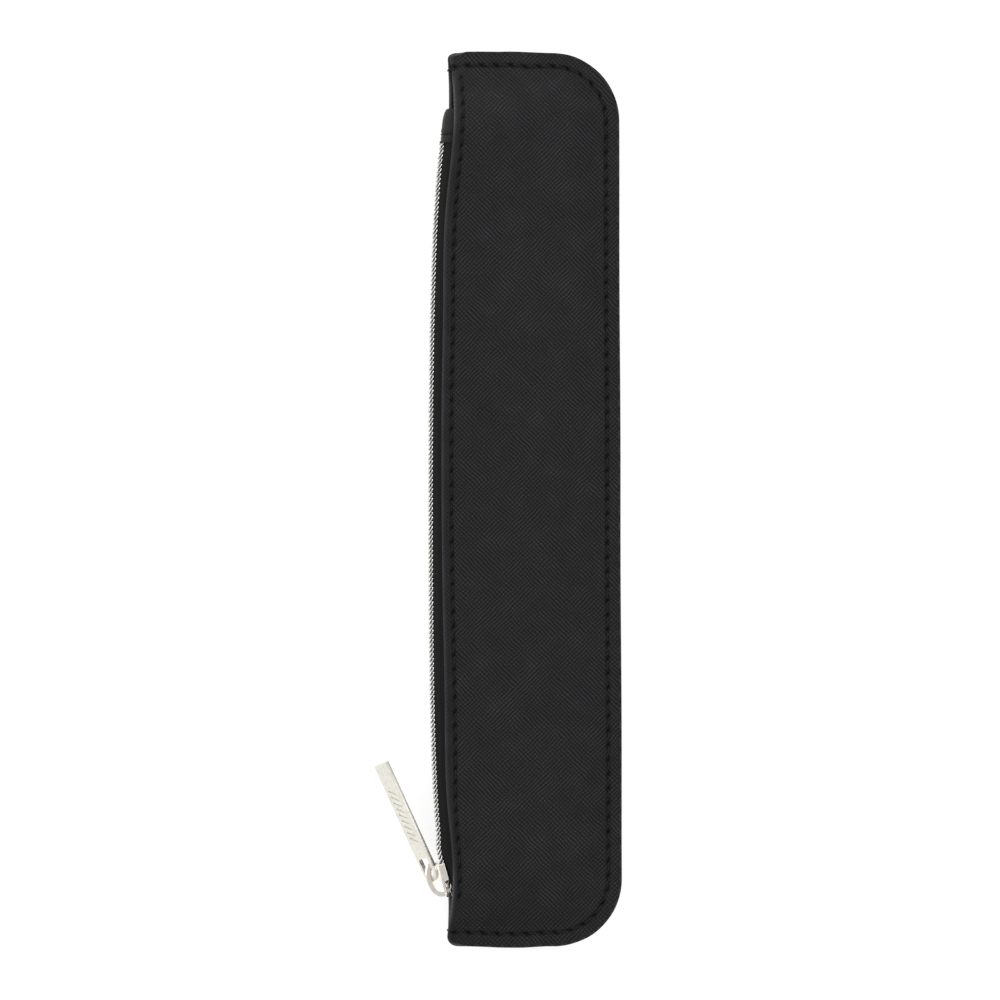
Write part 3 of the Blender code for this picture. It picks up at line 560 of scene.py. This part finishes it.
LEATHER_MAT = leather_material()
EDGE_MAT = edge_material()
THREAD_MAT = thread_material()
TAPE_MAT = weave_material("zip_tape_weave", (0.002, 0.002, 0.0022), (0.012, 0.012, 0.0125), 0.42, 0.75)
LINING_MAT = weave_material("lining_cloth", (0.012, 0.012, 0.014), (0.045, 0.045, 0.05), 0.5, 0.8)
BOARD_MAT = board_material()
CORD_MAT = cord_material()
TAB_MAT = tab_material()
COIL_MAT = metal_material("zip_coil_metallised", (0.66, 0.655, 0.63), (0.9, 0.89, 0.87), 0.24, 0.0)
SLIDER_MAT = metal_material("slider_nickel", (0.86, 0.8, 0.73), (0.97, 0.92, 0.86), 0.26, 100.0)
PULL_MAT = metal_material("pull_nickel", (0.66, 0.635, 0.575), (0.79, 0.765, 0.7), 0.3, 114.5)
STOP_MAT = metal_material("stop_metal", (0.6, 0.6, 0.6), (0.85, 0.85, 0.84), 0.25, 0.0)


# ------------------------------------------------------------------ leather, boards, linings
def row_stations(spacing, corner):
    """Y positions of the rows, closer together round the corners of the spine."""
    theta = np.linspace(0, math.pi / 2, corner + 1)[1:]
    ends = STRAIGHT + CORNER_RADIUS * np.sin(theta)
    count = 2 * round(STRAIGHT / spacing) + 1
    return np.concatenate([-ends[::-1], np.linspace(-STRAIGHT, STRAIGHT, count), ends])


def across_stations(left, right, start, spacing, fine):
    """X positions of each row, from start inside the left edge to the right edge."""
    near = np.arange(start, 6.0, fine)
    far = np.array([0.9, 0.6, 0.35, 0.15, 0.0])
    middle = np.linspace(0, 1, round(34 / spacing))
    body = left[:, None] + 6.0 + (right - left - 7.2)[:, None] * middle
    return np.concatenate([left[:, None] + near, body, right[:, None] - far], 1)


def make_leather(side, spacing, corner):
    """Outer skin, round the turned edge, under the hem and along the flesh side, as one closed section for each row."""
    y = row_stations(spacing, corner)
    left, right = left_x(y, side), spine_x(y) - 0.02
    x = across_stations(left, right, HEM_ROLL, spacing, spacing * 0.75)
    yy = np.broadcast_to(y[:, None], x.shape)
    sign = SIGN[side]
    top = outer(side, x, yy) + sign * relief(side, x, yy)
    skin = np.stack([x, yy, top], -1)[:, ::-1]
    thick = hem_depth(left + HEM_ROLL, y) + HEM_LEATHER
    angle = np.radians(np.linspace(90, -90, 13))[1:-1]
    middle = outer(side, left + HEM_ROLL, y) - sign * thick / 2
    turn_x = (left + HEM_ROLL)[:, None] - HEM_ROLL * np.cos(angle)
    turn_z = middle[:, None] + sign * (thick / 2)[:, None] * np.sin(angle)
    turn = np.stack([turn_x, np.broadcast_to(y[:, None], turn_x.shape), turn_z], -1)
    ux = left[:, None] + np.linspace(HEM_ROLL, HEM_WIDTH, 9)
    uy = np.broadcast_to(y[:, None], ux.shape)
    under = np.stack([ux, uy, inside(side, ux, uy, hem_depth(ux, uy) + HEM_LEATHER)], -1)
    bx = left[:, None] + HEM_WIDTH + 0.05 + (right - left - HEM_WIDTH - 0.05)[:, None] * np.linspace(0, 1, 18)
    by = np.broadcast_to(y[:, None], bx.shape)
    flesh = np.stack([bx, by, inside(side, bx, by, LEATHER)], -1)
    section = np.concatenate([skin, turn, under, flesh], 1)
    px, py = section[..., 0], section[..., 1]
    s = px - left[:, None]
    rim = np.minimum(spine_x(py) - px, HALF_LENGTH - np.abs(py))
    across, rim_hole, zs, zip_hole, live = seam_marks(side, px, py)
    # painted shade mask: the stitch holes, and faintly the seam channels, to be darkened in the leather's colour
    channel = np.maximum(np.exp(-((across / 0.3) ** 2)), live * np.exp(-((zs / 0.3) ** 2)))
    hollow = np.maximum(rim_hole, zip_hole) ** 0.8 + 0.12 * channel
    # edge: smooth turned hem and cut rim where the grain is pressed flat; its highest values, pushed up near the fold's
    # ends, make the painted highlight along the roll of the turned edge
    ends = smooth((np.abs(py) - 84) / 8) * smooth((103 - np.abs(py)) / 3)
    edge = 0.96 * (1 - smooth((s - 0.2) / 3.4)) + 0.04 * ends * (s < 1.0) + 0.78 * (1 - smooth((rim - 0.35) / 0.6))
    facts = {"edge": clamp(edge), "hollow": clamp(hollow)}
    faces = closed_faces(*section.shape[:2])
    place(f"{side}_leather", warp(section, side), faces, LEATHER_MAT, BODY[side], [f"{side}_panel"], facts)


def rim_path(side, spacing):
    """Boundary of the three sewn sides and its inward direction, from the top of the fold round to its bottom."""
    lines = []
    for sign in (1.0, -1.0):
        start = float(left_x(sign * HALF_LENGTH, side)) - 0.2
        top = np.linspace(start, ARC_X, round((ARC_X - start) / spacing), endpoint=False)
        theta = np.linspace(math.pi / 2, 0, round(CORNER_RADIUS * 1.57 / spacing), endpoint=False)
        run = np.linspace(STRAIGHT, 0, round(STRAIGHT / spacing) + 1)
        x = np.concatenate([top, ARC_X + CORNER_RADIUS * np.cos(theta), np.full(len(run), SPINE_X)])
        y = np.concatenate([np.full(len(top), HALF_LENGTH), STRAIGHT + CORNER_RADIUS * np.sin(theta), run])
        nx = np.concatenate([np.zeros(len(top)), -np.cos(theta), -np.ones(len(run))])
        ny = np.concatenate([-np.ones(len(top)), -np.sin(theta), np.zeros(len(run))])
        line = np.stack([x, y * sign, nx, ny * sign], -1)
        lines.append(line if sign > 0 else line[::-1][1:])
    return np.concatenate(lines)


def make_rim(side):
    """Painted edge that closes the layers of one side, down to the middle of the rim."""
    path = rim_path(side, 0.5)
    top, middle = (RIM_Z, MID_RIM_Z - RIM_LAP) if side == "front" else (RIM_LIFT, MID_RIM_Z + RIM_LAP)
    sign = SIGN[side]
    reach = (top - middle) * sign
    profile = np.array([
        (0.42, reach + 0.02), (0.22, reach + 0.03), (0.06, reach - 0.06), (-0.01, reach - 0.25),
        (0.0, reach - 0.62), (0.05, reach - 0.72), (0.0, reach - 0.84), (0.0, reach - 1.05), (0.04, reach - 1.15),
        (0.0, reach - 1.25), (0.01, 0.2), (0.06, 0.06), (0.16, 0.0),
        (PAINT_DEPTH, 0.0), (PAINT_DEPTH, reach - 1.06), (0.78, reach - 1.06), (0.72, reach - 0.2),
    ])
    d, h = profile.T
    x = path[:, None, 0] + path[:, None, 2] * d
    y = path[:, None, 1] + path[:, None, 3] * d
    z = np.broadcast_to(middle + sign * h, x.shape)
    ripple = 0.03 * np.sin(path[:, 0] * 2.1 + path[:, 1] * 1.7)[:, None] * (h > 0.3 * reach)
    section = np.stack([x, y, z + sign * ripple], -1)
    faces = closed_faces(*section.shape[:2])
    points = warp(section, side)
    place(f"{side}_painted_edge", points, faces, EDGE_MAT, BODY[side], [f"{side}_panel"], crease=60)


def make_slab(name, side, start, margin, depth, thick, spacing, mat, slot, node):
    """A thin layer between two margins, on the inner side of the leather."""
    limit = HALF_LENGTH - margin
    y = row_stations(spacing, 14)
    y = y[np.abs(y) < limit - 0.3]
    y = np.concatenate([[-limit], y, [limit]])
    left = left_x(y, side) + start
    right = spine_x(y, margin)
    x = left[:, None] + (right - left)[:, None] * np.linspace(0, 1, 34)
    yy = np.broadcast_to(y[:, None], x.shape)
    d = depth(x, yy, x - fold_x(yy, side))
    upper = np.stack([x, yy, inside(side, x, yy, d)], -1)
    lower = np.stack([x, yy, inside(side, x, yy, d + thick)], -1)[:, ::-1]
    section = np.concatenate([upper, lower], 1)
    faces = closed_faces(*section.shape[:2])
    cut = middle_ring(y, section.shape[1])
    made = place(name, warp(section, side), faces, mat, BODY[side], [node], cut=cut)
    if slot == "lining":
        declare_sheets(made, upper)


def declare_sheets(objects, grid):
    """Picks the rows of a cloth's middle surface for each object and works out the suffix of each object's name;
    neither is used further.
    """
    rows = grid[:, 0, 1]
    halves = [grid] if len(objects) == 1 else [grid[rows >= -1e-6], grid[rows <= 1e-6]]
    for obj, part in zip(objects, halves):
        half = "" if len(objects) == 1 else obj.name[obj.name.rindex("_"):]


def board_depth(x, y, s):
    return np.full(x.shape, 0.76)


def lining_depth(x, y, s):
    """Over the tape near the zip, then down onto the board."""
    hem = hem_depth(x, y)
    over_tape = hem + 0.64 + 0.62 * board_share(x, y)
    return over_tape + (hem + 0.02 - over_tape) * smooth((s - 10.0) / 2.5)


# ------------------------------------------------------------------ seams
def stitch_paths(side, start_along, end_along, place_point, lean):
    """Each stitch dives into its hole at both ends, and leans across the seam."""
    t = np.linspace(0, 1, 11)
    along = start_along[:, None] + (end_along - start_along)[:, None] * (0.1 + 0.8 * t)
    across = lean * (t - 0.5)[None, :] + 0 * along
    x, y = place_point(along, across)
    lift = -0.36 + 0.37 * np.sin(math.pi * t) ** 0.6
    z = outer(side, x, y) + SIGN[side] * (lift + 0.02)
    return np.stack([x, y, z], -1)


def make_seams(side):
    length = STRAIGHT + (CORNER_RADIUS - SEAM_INSET) * math.pi / 2 + ARC_X - float(left_x(HALF_LENGTH, side)) - 0.9
    holes = np.arange(0, length, RIM_PITCH)
    stacks = []
    for sign in (1.0, -1.0):
        def point(along, across, sign=sign):
            return rim_point(along, across, sign)
        stacks.append(stitch_paths(side, holes[:-1], holes[1:], point, -0.34 * sign))
    radius = THREAD * np.array(STITCH_TAPER)
    points, faces = tubes(warp(np.concatenate(stacks), side), radius, 8, 0.85)
    place(f"{side}_rim_stitches", points, faces, THREAD_MAT, BODY[side], [f"rim_seam_thread_{side}"])
    holes = np.arange(math.ceil(ZIP_SEAM_Y[0] / ZIP_PITCH), math.floor(ZIP_SEAM_Y[1] / ZIP_PITCH) + 1) * ZIP_PITCH

    def zip_point(along, across):
        return fold_x(along, side) + zip_seam_inset(along) + across, along

    paths = stitch_paths(side, holes[:-1], holes[1:], zip_point, 0.3)
    points, faces = tubes(warp(paths, side), radius, 8, 0.85)
    place(f"{side}_zip_stitches", points, faces, THREAD_MAT, BODY[side], [f"zip_seam_thread_{side}"])


def make_bar_tacks():
    """Thread ends that wrap over the turned edge at both ends of the zip."""
    parts = []
    for y, reach in ((103.5, 0.05), (-103.7, 0.0)):
        t = np.linspace(0, 1, 13)
        x0 = float(fold_x(y, "back"))
        x = x0 + 1.4 - (1.4 + reach) * np.sin(math.pi * t)
        z = MID_RIM_Z - 1.9 * np.cos(math.pi * t)
        path = np.stack([x, y + 0.15 * np.sin(9 * t), z], -1)[None]
        parts.append(tubes(path, TACK_THREAD, 8, 1.0, (0.0, 1.0, 0.0)))
    points, faces = joined(*parts)
    place("bar_tacks", points, faces, THREAD_MAT, "case_back", ["zip_seam_thread_back"])


# ------------------------------------------------------------------ zip
def along_chain(low, high, spacing):
    """Y positions with one of them at the split between the halves."""
    y = np.arange(low, high, spacing)
    y[np.argmin(np.abs(y))] = 0.0
    return y


def cubic(a, b, c, d, t):
    return (1 - t) ** 3 * a + 3 * (1 - t) ** 2 * t * b + 3 * (1 - t) * t**2 * c + t**3 * d


def make_tape(side):
    """From between the coil and its heels, over in one bend, and flat under the turned edge."""
    sign = SIGN[side]
    y = along_chain(-92.4, 88.3, 0.9)
    x_tape = np.maximum(chain_x(np.minimum(y, 86.0)) + 0.82, np.where(y > 85, -21.35, -99.0))
    z_mid, spread = chain_z(y), chain_spread(y)
    fold = fold_x(y, side)

    def layer(s):
        x = fold + s
        depth = hem_depth(x, y) + 0.62
        return x, inside(side, x, y, depth + TAPE / 2)

    x1, z1 = layer(1.2)
    start_z = z_mid + sign * (0.28 + spread)
    edge_z = z_mid + sign * (1.75 + spread)
    line = [(x_tape, start_z), (x_tape, 0.5 * (start_z + edge_z)), (x_tape, edge_z)]
    for t in (0.2, 0.4, 0.6, 0.8):
        bend_x = cubic(x_tape, x_tape, 0.35 * x_tape + 0.65 * x1, x1, t)
        bend_z = cubic(edge_z, 0.45 * edge_z + 0.55 * z1, z1, z1, t)
        line.append((bend_x, bend_z))
    line.append((x1, z1))
    line += [layer(s) for s in (2.5, 4.0, 5.5, 7.5, 9.4)]
    centre = np.stack([np.stack([x, y, z], -1) for x, z in line], 1)
    tangent = np.gradient(centre, axis=1)
    normal = np.stack([-tangent[..., 2], 0 * tangent[..., 0], tangent[..., 0]], -1)
    normal /= np.linalg.norm(normal, axis=2, keepdims=True)
    section = np.concatenate([centre + normal * TAPE / 2, (centre - normal * TAPE / 2)[:, ::-1]], 1)
    cut = middle_ring(y, section.shape[1])
    faces = closed_faces(*section.shape[:2])
    made = place(f"{side}_tape", section, faces, TAPE_MAT, BODY[side], [f"zip_tape_{side}"], None, 50, cut)
    declare_sheets(made, centre)


def coil_points(side, low, high):
    """Filament of one row: its outer stroke runs on by COIL_HEEL pitches, and its inner one comes back."""
    samples = 26
    turns = int((high - low) / COIL_PITCH)
    phase = np.arange(turns * samples + 1) / samples
    turn, t = np.floor(phase), phase % 1.0
    angle = 2 * math.pi * t
    wide = signed_power(np.sin(angle), 0.35)
    deep = -signed_power(np.cos(angle), 0.8)
    advance = COIL_HEEL * clamp((t - 0.03) / 0.44) + (1 - COIL_HEEL) * smooth((t - 0.56) / 0.36)
    offset = 0.5 if side == "back" else 0.0
    y = low + COIL_PITCH * (turn + advance + offset)
    z = chain_z(y) + SIGN[side] * (CHAIN_ROW + chain_spread(y) + 0.78 * wide)
    x = chain_x(y) + 0.5 * deep
    return np.stack([x, y, z], -1)


def frame_along(path):
    """Two directions across the path, which turn with it and never twist about it."""
    tangent = np.gradient(path, axis=0)
    tangent /= np.linalg.norm(tangent, axis=1, keepdims=True)
    normal = np.zeros_like(path)
    current = np.array([0.0, 1.0, 0.0])
    for i, t in enumerate(tangent):
        current = current - t * (current @ t)
        current /= np.linalg.norm(current)
        normal[i] = current
    return normal, np.cross(tangent, normal)


def make_coil(side):
    path = coil_points(side, -94.3, 85.6)
    a, b = frame_along(path)
    angle = (np.arange(8) * math.pi / 4)[:, None]
    points = path[:, None] + FILAMENT * (np.cos(angle) * a[:, None] + np.sin(angle) * b[:, None])
    faces = closed_faces(*points.shape[:2])
    place(f"{side}_coil", points, faces, COIL_MAT, BODY[side], [f"zip_coil_{side}"], crease=80)
    y = along_chain(-94.0, 85.5, 0.6)
    core = np.stack([chain_x(y), y, chain_z(y) + SIGN[side] * (0.95 + chain_spread(y))], -1)[None]
    points, faces = tubes(core, CORE_CORD, 10, 2.2)
    place(f"{side}_core_cord", points, faces, CORD_MAT, BODY[side], [f"zip_core_cord_{side}"])


def make_sewing(side):
    """Rows of fine thread that tie the coil down to its tape, beside the heels."""
    low = np.arange(-90.0, 84.6, COIL_PITCH)
    t = np.linspace(0, 1, 7)
    y = low[:, None] + COIL_PITCH * t
    x = chain_x(y) + 0.62
    z = chain_z(y) + SIGN[side] * (SEWING_ROW + chain_spread(y) + 0.2 * np.sin(math.pi * t))
    points, faces = tubes(np.stack([x, y, z], -1), SEWING_THREAD, 6, 1.0, (1.0, 0.0, 0.0))
    place(f"{side}_coil_sewing", points, faces, THREAD_MAT, BODY[side], [f"zip_tape_{side}"])


def make_stops():
    """Clamped stops at the closed end; the joined stop under the tab is the CAD one with a material."""
    for side, sign in SIGN.items():
        y = np.linspace(-95.6, -94.5, 7)
        angle = np.linspace(0, 2 * math.pi, 16, endpoint=False)
        fat = 0.45 * (1 - 0.35 * np.abs(2 * (y + 95.05) / 1.1) ** 4)
        x = chain_x(y)[:, None] + fat[:, None] * np.cos(angle) * 0.95
        z = (chain_z(y) + sign * (1.35 + chain_spread(y)))[:, None] + fat[:, None] * np.sin(angle) * 1.1
        points = np.stack([x, np.broadcast_to(y[:, None], x.shape), z], -1)
        faces = closed_faces(*points.shape[:2])
        if side == "front":
            obj = mesh_object("front_top_stop", points.reshape(-1, 3), faces, STOP_MAT, {}, 50)
            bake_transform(obj)
            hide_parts("zip_top_stop_front")
        else:
            place("back_top_stop", points, faces, STOP_MAT, "case_back", ["zip_top_stop_back"])
    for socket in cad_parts["zip_bottom_stop"].material_slots:
        socket.material = STOP_MAT


# ------------------------------------------------------------------ end tab
def tab_nose(y):
    """Outer edge of the tab seen from above: round at its far corner, a little ragged at its near one."""
    rise = clamp((93.95 - y) / 6.0)
    ragged = 0.1 * smooth((88.6 - y) / 1.5) + 0.4 * smooth((TAB_STRIP_Y - y) / 0.6)
    return -21.0 - 1.45 * np.sqrt(np.maximum(1 - (1 - rise) ** 2, 0)) - ragged


def tab_reach(y):
    """The tab's inner edge in X, the middle of the chain in Z, and how far the tab stands above and below it."""
    inner, middle = fold_x(y) + 2.2, chain_middle(y)
    depth = hem_depth(inner, y) + LEATHER
    return inner, middle, inside("front", inner, y, depth) - middle, middle - inside("back", inner, y, depth)


def make_tab():
    y = np.concatenate([np.linspace(85.75, 92.0, 34), 92.0 + 1.94 * np.sin(np.linspace(0, math.pi / 2, 12)[1:])])
    angle = np.radians(np.linspace(90, -90, 21))
    tip, mid, above, below = (v[:, None] for v in tab_reach(y))
    ridge = sum(h * np.exp(-(((y - at) / w) ** 2)) for h, at, w in TAB_RIDGES)[:, None]
    reach = np.where(np.sin(angle) >= 0, above, below)
    x = tip + (tab_nose(y)[:, None] - tip) * signed_power(np.cos(angle), 0.55) * (1 + 0.12 * ridge)
    z = mid + signed_power(np.sin(angle), 0.8) * reach * (1 + 0.16 * ridge)
    yy = np.broadcast_to(y[:, None], x.shape)
    outside = np.stack([x, yy, z], -1)
    inner = np.stack([tip + (x - tip) * 0.84, yy, mid + (z - mid) * 0.8], -1)[:, ::-1]
    section = np.concatenate([outside, inner], 1)
    # painted sheen mask: highest where the outer surface faces straight out sideways, and full on the hidden inner
    # surface
    tab_edge_sheen = np.concatenate([np.broadcast_to(1 - np.abs(np.sin(angle)), x.shape), np.ones(x.shape)], 1)
    faces, facts = closed_faces(*section.shape[:2]), {"edge": tab_edge_sheen}
    place("end_tab", section, faces, TAB_MAT, "case_back", ["zip_end_tab"], facts, crease=50)
    t = np.linspace(0, 1, 9)
    tip, mid, above, below = tab_reach(TAB_SEAM_Y)
    grow = 0.97 + 0.035 * np.sin(math.pi * t)
    paths = []
    for k in range(TAB_STITCHES):
        a = math.pi * (0.5 - (k + 0.1 + 0.8 * t) / TAB_STITCHES)
        px = tip + (tab_nose(TAB_SEAM_Y) - tip) * np.abs(np.cos(a)) ** 0.55 * grow
        pz = mid + signed_power(np.sin(a), 0.8) * np.where(np.sin(a) >= 0, above, below) * grow
        paths.append(np.stack([px, np.full(len(t), TAB_SEAM_Y), pz], -1))
    points, faces = tubes(np.stack(paths), THREAD, 8, 1.0, (0.0, 1.0, 0.0))
    place("tab_stitches", points, faces, THREAD_MAT, "case_back", ["tab_seam_thread"])


# ------------------------------------------------------------------ slider and pull
def prism(outline, low, high, bevel, segments=2):
    """Plate with rounded edges, from an outline in its plane: points (a, b) become (height, a, b)."""
    bm = bmesh.new()
    face = bm.faces.new([bm.verts.new((low, a, b)) for a, b in outline])
    moved = bmesh.ops.extrude_face_region(bm, geom=[face])
    verts = [v for v in moved["geom"] if isinstance(v, bmesh.types.BMVert)]
    bmesh.ops.translate(bm, verts=verts, vec=(high - low, 0, 0))
    sharp = [e for e in bm.edges if len(e.link_faces) == 2 and e.calc_face_angle(0) > 0.5]
    bmesh.ops.bevel(bm, geom=sharp, offset=bevel, segments=segments, profile=0.6, affect="EDGES")
    bm.verts.index_update()
    points = np.array([v.co for v in bm.verts])
    faces = [[v.index for v in f.verts] for f in bm.faces]
    bm.free()
    return points, faces


def rounded(points, radius, steps=5):
    """Outline with each corner rounded."""
    made = []
    for i in range(len(points)):
        p, c, n = (np.array(points[j % len(points)], float) for j in (i - 1, i, i + 1))
        u, v = p - c, n - c
        lu, lv = np.linalg.norm(u), np.linalg.norm(v)
        r = min(radius, 0.45 * lu, 0.45 * lv)
        a, b = c + u / lu * r, c + v / lv * r
        for t in np.linspace(0, 1, steps):
            made.append(tuple((1 - t) ** 2 * a + 2 * t * (1 - t) * c + t * t * b))
    return made


def crown_line():
    """The crown seen from above: one smooth line through its knots."""
    knots = np.array([
        (-20.4, -94.5), (-21.6, -94.62), (-22.75, -94.8), (-23.95, -94.1), (-24.85, -92.65), (-25.45, -91.0),
        (-25.65, -89.5), (-25.3, -88.35), (-24.5, -87.75), (-23.4, -87.6), (-22.3, -87.7),
    ])
    line = []
    for i in range(1, len(knots) - 2):
        p0, p1, p2, p3 = knots[i - 1 : i + 3]
        for t in np.linspace(0, 1, 7)[:-1]:
            square, cube = 2 * p0 - 5 * p1 + 4 * p2 - p3, 3 * p1 - p0 - 3 * p2 + p3
            line.append(0.5 * (2 * p1 + (p2 - p0) * t + square * t**2 + cube * t**3))
    line.append(knots[-2])
    return np.array(line)


def make_crown():
    line = crown_line()
    tangent = np.gradient(line, axis=0)
    tangent /= np.linalg.norm(tangent, axis=1, keepdims=True)
    normal = np.stack([-tangent[:, 1], tangent[:, 0]], -1)
    share = np.linspace(0, 1, len(line))
    half = 0.72 + 0.08 * np.abs(2 * share - 1) ** 3 - 0.32 * smooth((share - 0.75) / 0.2)
    profile = [(-1, -0.5), (-0.55, -1), (0.55, -1), (1, -0.5), (1, 0.5), (0.55, 1), (-0.55, 1), (-1, 0.5)]
    rows = []
    for n, z in profile:
        xy = line + normal * (half * n)[:, None]
        rows.append(np.column_stack([xy, np.full(len(line), SLIDER_CENTRE[2] + CROWN_HALF_WIDTH * z)]))
    points = np.stack(rows, 1)
    return points.reshape(-1, 3), closed_faces(*points.shape[:2])


def make_slider():
    """A plate on each face of the chain, the wedge that parts its rows, a flange on each edge, and the crown."""
    half = [(-4.2, 1.7), (-3.2, 2.9), (0.4, 2.9), (4.2, 2.55)]
    outside = [(a, -b) for a, b in half] + half[::-1]
    within = [(-3.3, -1.6), (-2.4, -2.1), (4.1, -2.1), (4.1, 2.1), (-2.4, 2.1), (-3.3, 1.6)]
    wedge = [(-3.2, -0.5), (-1.9, -0.12), (-1.9, 0.12), (-3.2, 0.5)]
    parts = [
        prism(rounded(outside, 1.1), *OUTER_PLATE, 0.22),
        prism(rounded(within, 0.9), *INNER_PLATE, 0.14, 3),
        prism(rounded(wedge, 0.2), *WEDGE, 0.05),
    ]
    for sign in (1.0, -1.0):
        b0, b1 = sorted((sign * 2.36, sign * 2.88))
        parts.append(prism(rounded([(-0.2, b0), (4.0, b0), (4.0, b1), (-0.2, b1)], 0.2), *FLANGE, 0.19))
    points, faces = joined(*parts)
    c, s = math.cos(SLIDER_TILT), math.sin(SLIDER_TILT)
    x = points[:, 0] * c - points[:, 1] * s + SLIDER_CENTRE[0]
    y = points[:, 0] * s + points[:, 1] * c + SLIDER_CENTRE[1]
    body = (np.stack([x, y, points[:, 2] + SLIDER_CENTRE[2]], -1), faces)
    points, faces = joined(body, make_crown())
    place("slider", points, faces, SLIDER_MAT, "zip_slider", ["slider_body"], crease=32)


def applied(obj):
    """Points and faces of an object with its modifiers on it."""
    mesh = bpy.data.meshes.new_from_object(obj.evaluated_get(bpy.context.evaluated_depsgraph_get()))
    points = np.array([v.co for v in mesh.vertices])
    faces = [list(p.vertices) for p in mesh.polygons]
    bpy.data.meshes.remove(mesh)
    return points, faces


def round_end(start, half, steps):
    """Half circle that opens along the bar."""
    angles = [math.pi / 2 + math.pi * k / steps for k in range(steps + 1)]
    return [(start + half + half * math.cos(a), half * math.sin(a)) for a in angles]


def make_pull():
    """Flat bar: round at the crown, square at its free end, a slot for the crown, and a plain ruled ornament."""
    far, half = PULL_START + PULL_LENGTH, PULL_WIDTH / 2
    corner = rounded([(far - 1.0, -half), (far, -half), (far, half), (far - 1.0, half)], 0.3, 4)
    outline = round_end(PULL_START, half, 24) + corner[4:12]
    bar = plain_object("scratch", *prism(outline, -PULL_THICK / 2, PULL_THICK / 2, 0.12, 3))
    slot = round_end(0.38, 1.8, 14) + [(5.2, -1.8), (5.4, -1.6), (5.4, 1.6), (5.2, 1.8)]
    cutters = [prism(slot, -2.0, 2.0, 0.02)]
    for face in (1.0, -1.0):
        for k in range(RULES):
            a = RULE_START + RULE_STEP * k - RULE_LEAN / 2 - RULE_WIDTH / 2
            b = a + RULE_LEAN
            line = [(a, -RULE_HALF), (a + RULE_WIDTH, -RULE_HALF), (b + RULE_WIDTH, RULE_HALF), (b, RULE_HALF)]
            low, high = sorted((face * 0.3, face * 1.0))
            cutters.append(prism(line, low, high, 0.02, 1))
    for cut in cutters:
        tool = plain_object("scratch", *cut)
        modifier = bar.modifiers.new("cut", "BOOLEAN")
        modifier.operation, modifier.solver, modifier.object = "DIFFERENCE", "EXACT", tool
        bpy.context.view_layer.update()
        points, faces = applied(bar)
        bpy.data.objects.remove(tool)
        bpy.data.objects.remove(bar)
        bar = plain_object("scratch", points, faces)
    bpy.data.objects.remove(bar)
    points = points[:, [1, 2, 0]]
    turn = np.array(Matrix.Rotation(PULL_ANGLE, 3, "Z") @ Matrix.Rotation(PULL_ROLL, 3, "X"))
    points = points @ turn.T + np.array(PIVOT)
    place("pull", points, faces, PULL_MAT, "pull", ["pull_bar"], crease=28)


# ------------------------------------------------------------------ assembly
for side, spacing, corner in (("front", 0.32, 60), ("back", 0.5, 36)):
    make_leather(side, spacing, corner)
    make_rim(side)
    make_slab(f"{side}_board", side, 1.4, 4.9, board_depth, BOARD, 1.5, BOARD_MAT, "board", f"{side}_stiffener")
    make_slab(f"{side}_lining_cloth", side, 3.2, 0.9, lining_depth, LINING, 1.2, LINING_MAT, "lining", f"{side}_lining")
    make_seams(side)
    make_tape(side)
    make_coil(side)
    make_sewing(side)
make_bar_tacks()
make_stops()
make_tab()
make_slider()
make_pull()


# ------------------------------------------------------------------ floor, lights, camera
def pale_floor():
    """White sweep that is also lit from behind, as a light table is, so that shadows on it are faint."""
    mat, _, shader = material("pale_floor", (0.3, 0.3, 0.3), 0.9)
    shader.inputs["Emission Color"].default_value = (1.0, 1.0, 1.0, 1.0)
    shader.inputs["Emission Strength"].default_value = 0.8
    return mat


FLOOR_HALF, FLOOR_Z = 2.0, -0.00004
corners = [(a * FLOOR_HALF, b * FLOOR_HALF, FLOOR_Z) for a, b in ((-1, -1), (1, -1), (1, 1), (-1, 1))]
floor_mesh = bpy.data.meshes.new("floor")
floor_mesh.from_pydata(corners, [], [(0, 1, 2, 3)])
floor_mesh.materials.append(pale_floor())
floor = bpy.data.objects.new("floor", floor_mesh)
bpy.context.scene.collection.objects.link(floor)


def area_light(name, location, size, power):
    """A soft light that faces the object."""
    data = bpy.data.lights.new(name, "AREA")
    data.shape = "RECTANGLE"
    data.size, data.size_y = size
    data.energy = power
    obj = bpy.data.objects.new(name, data)
    obj.location = location
    obj.rotation_euler = (-Vector(location)).to_track_quat("-Z", "Y").to_euler()
    bpy.context.scene.collection.objects.link(obj)


area_light("light_left", (-1.1, 0.1, 0.75), (1.0, 1.4), 6.0)
area_light("light_right", (1.1, 0.1, 0.75), (1.0, 1.4), 6.0)
area_light("light_top", (0.0, 1.2, 0.7), (1.4, 0.9), 10.0)
area_light("light_bottom", (0.0, -1.2, 0.8), (1.4, 0.8), 2.5)

world = bpy.data.worlds.new("studio")
world.use_nodes = True
world.node_tree.nodes["Background"].inputs["Color"].default_value = (1.0, 1.0, 1.0, 1.0)
world.node_tree.nodes["Background"].inputs["Strength"].default_value = 0.6
bpy.context.scene.world = world
bpy.context.scene.view_settings.view_transform = "Standard"

camera_data = bpy.data.cameras.new("camera")
camera_data.lens = 180.0
camera_data.sensor_width = 36.0
camera_data.clip_start, camera_data.clip_end = 0.05, 10.0
camera = bpy.data.objects.new("camera", camera_data)
camera.location = (-0.0084, -0.00012, 1.208)
bpy.context.scene.collection.objects.link(camera)
bpy.context.scene.camera = camera
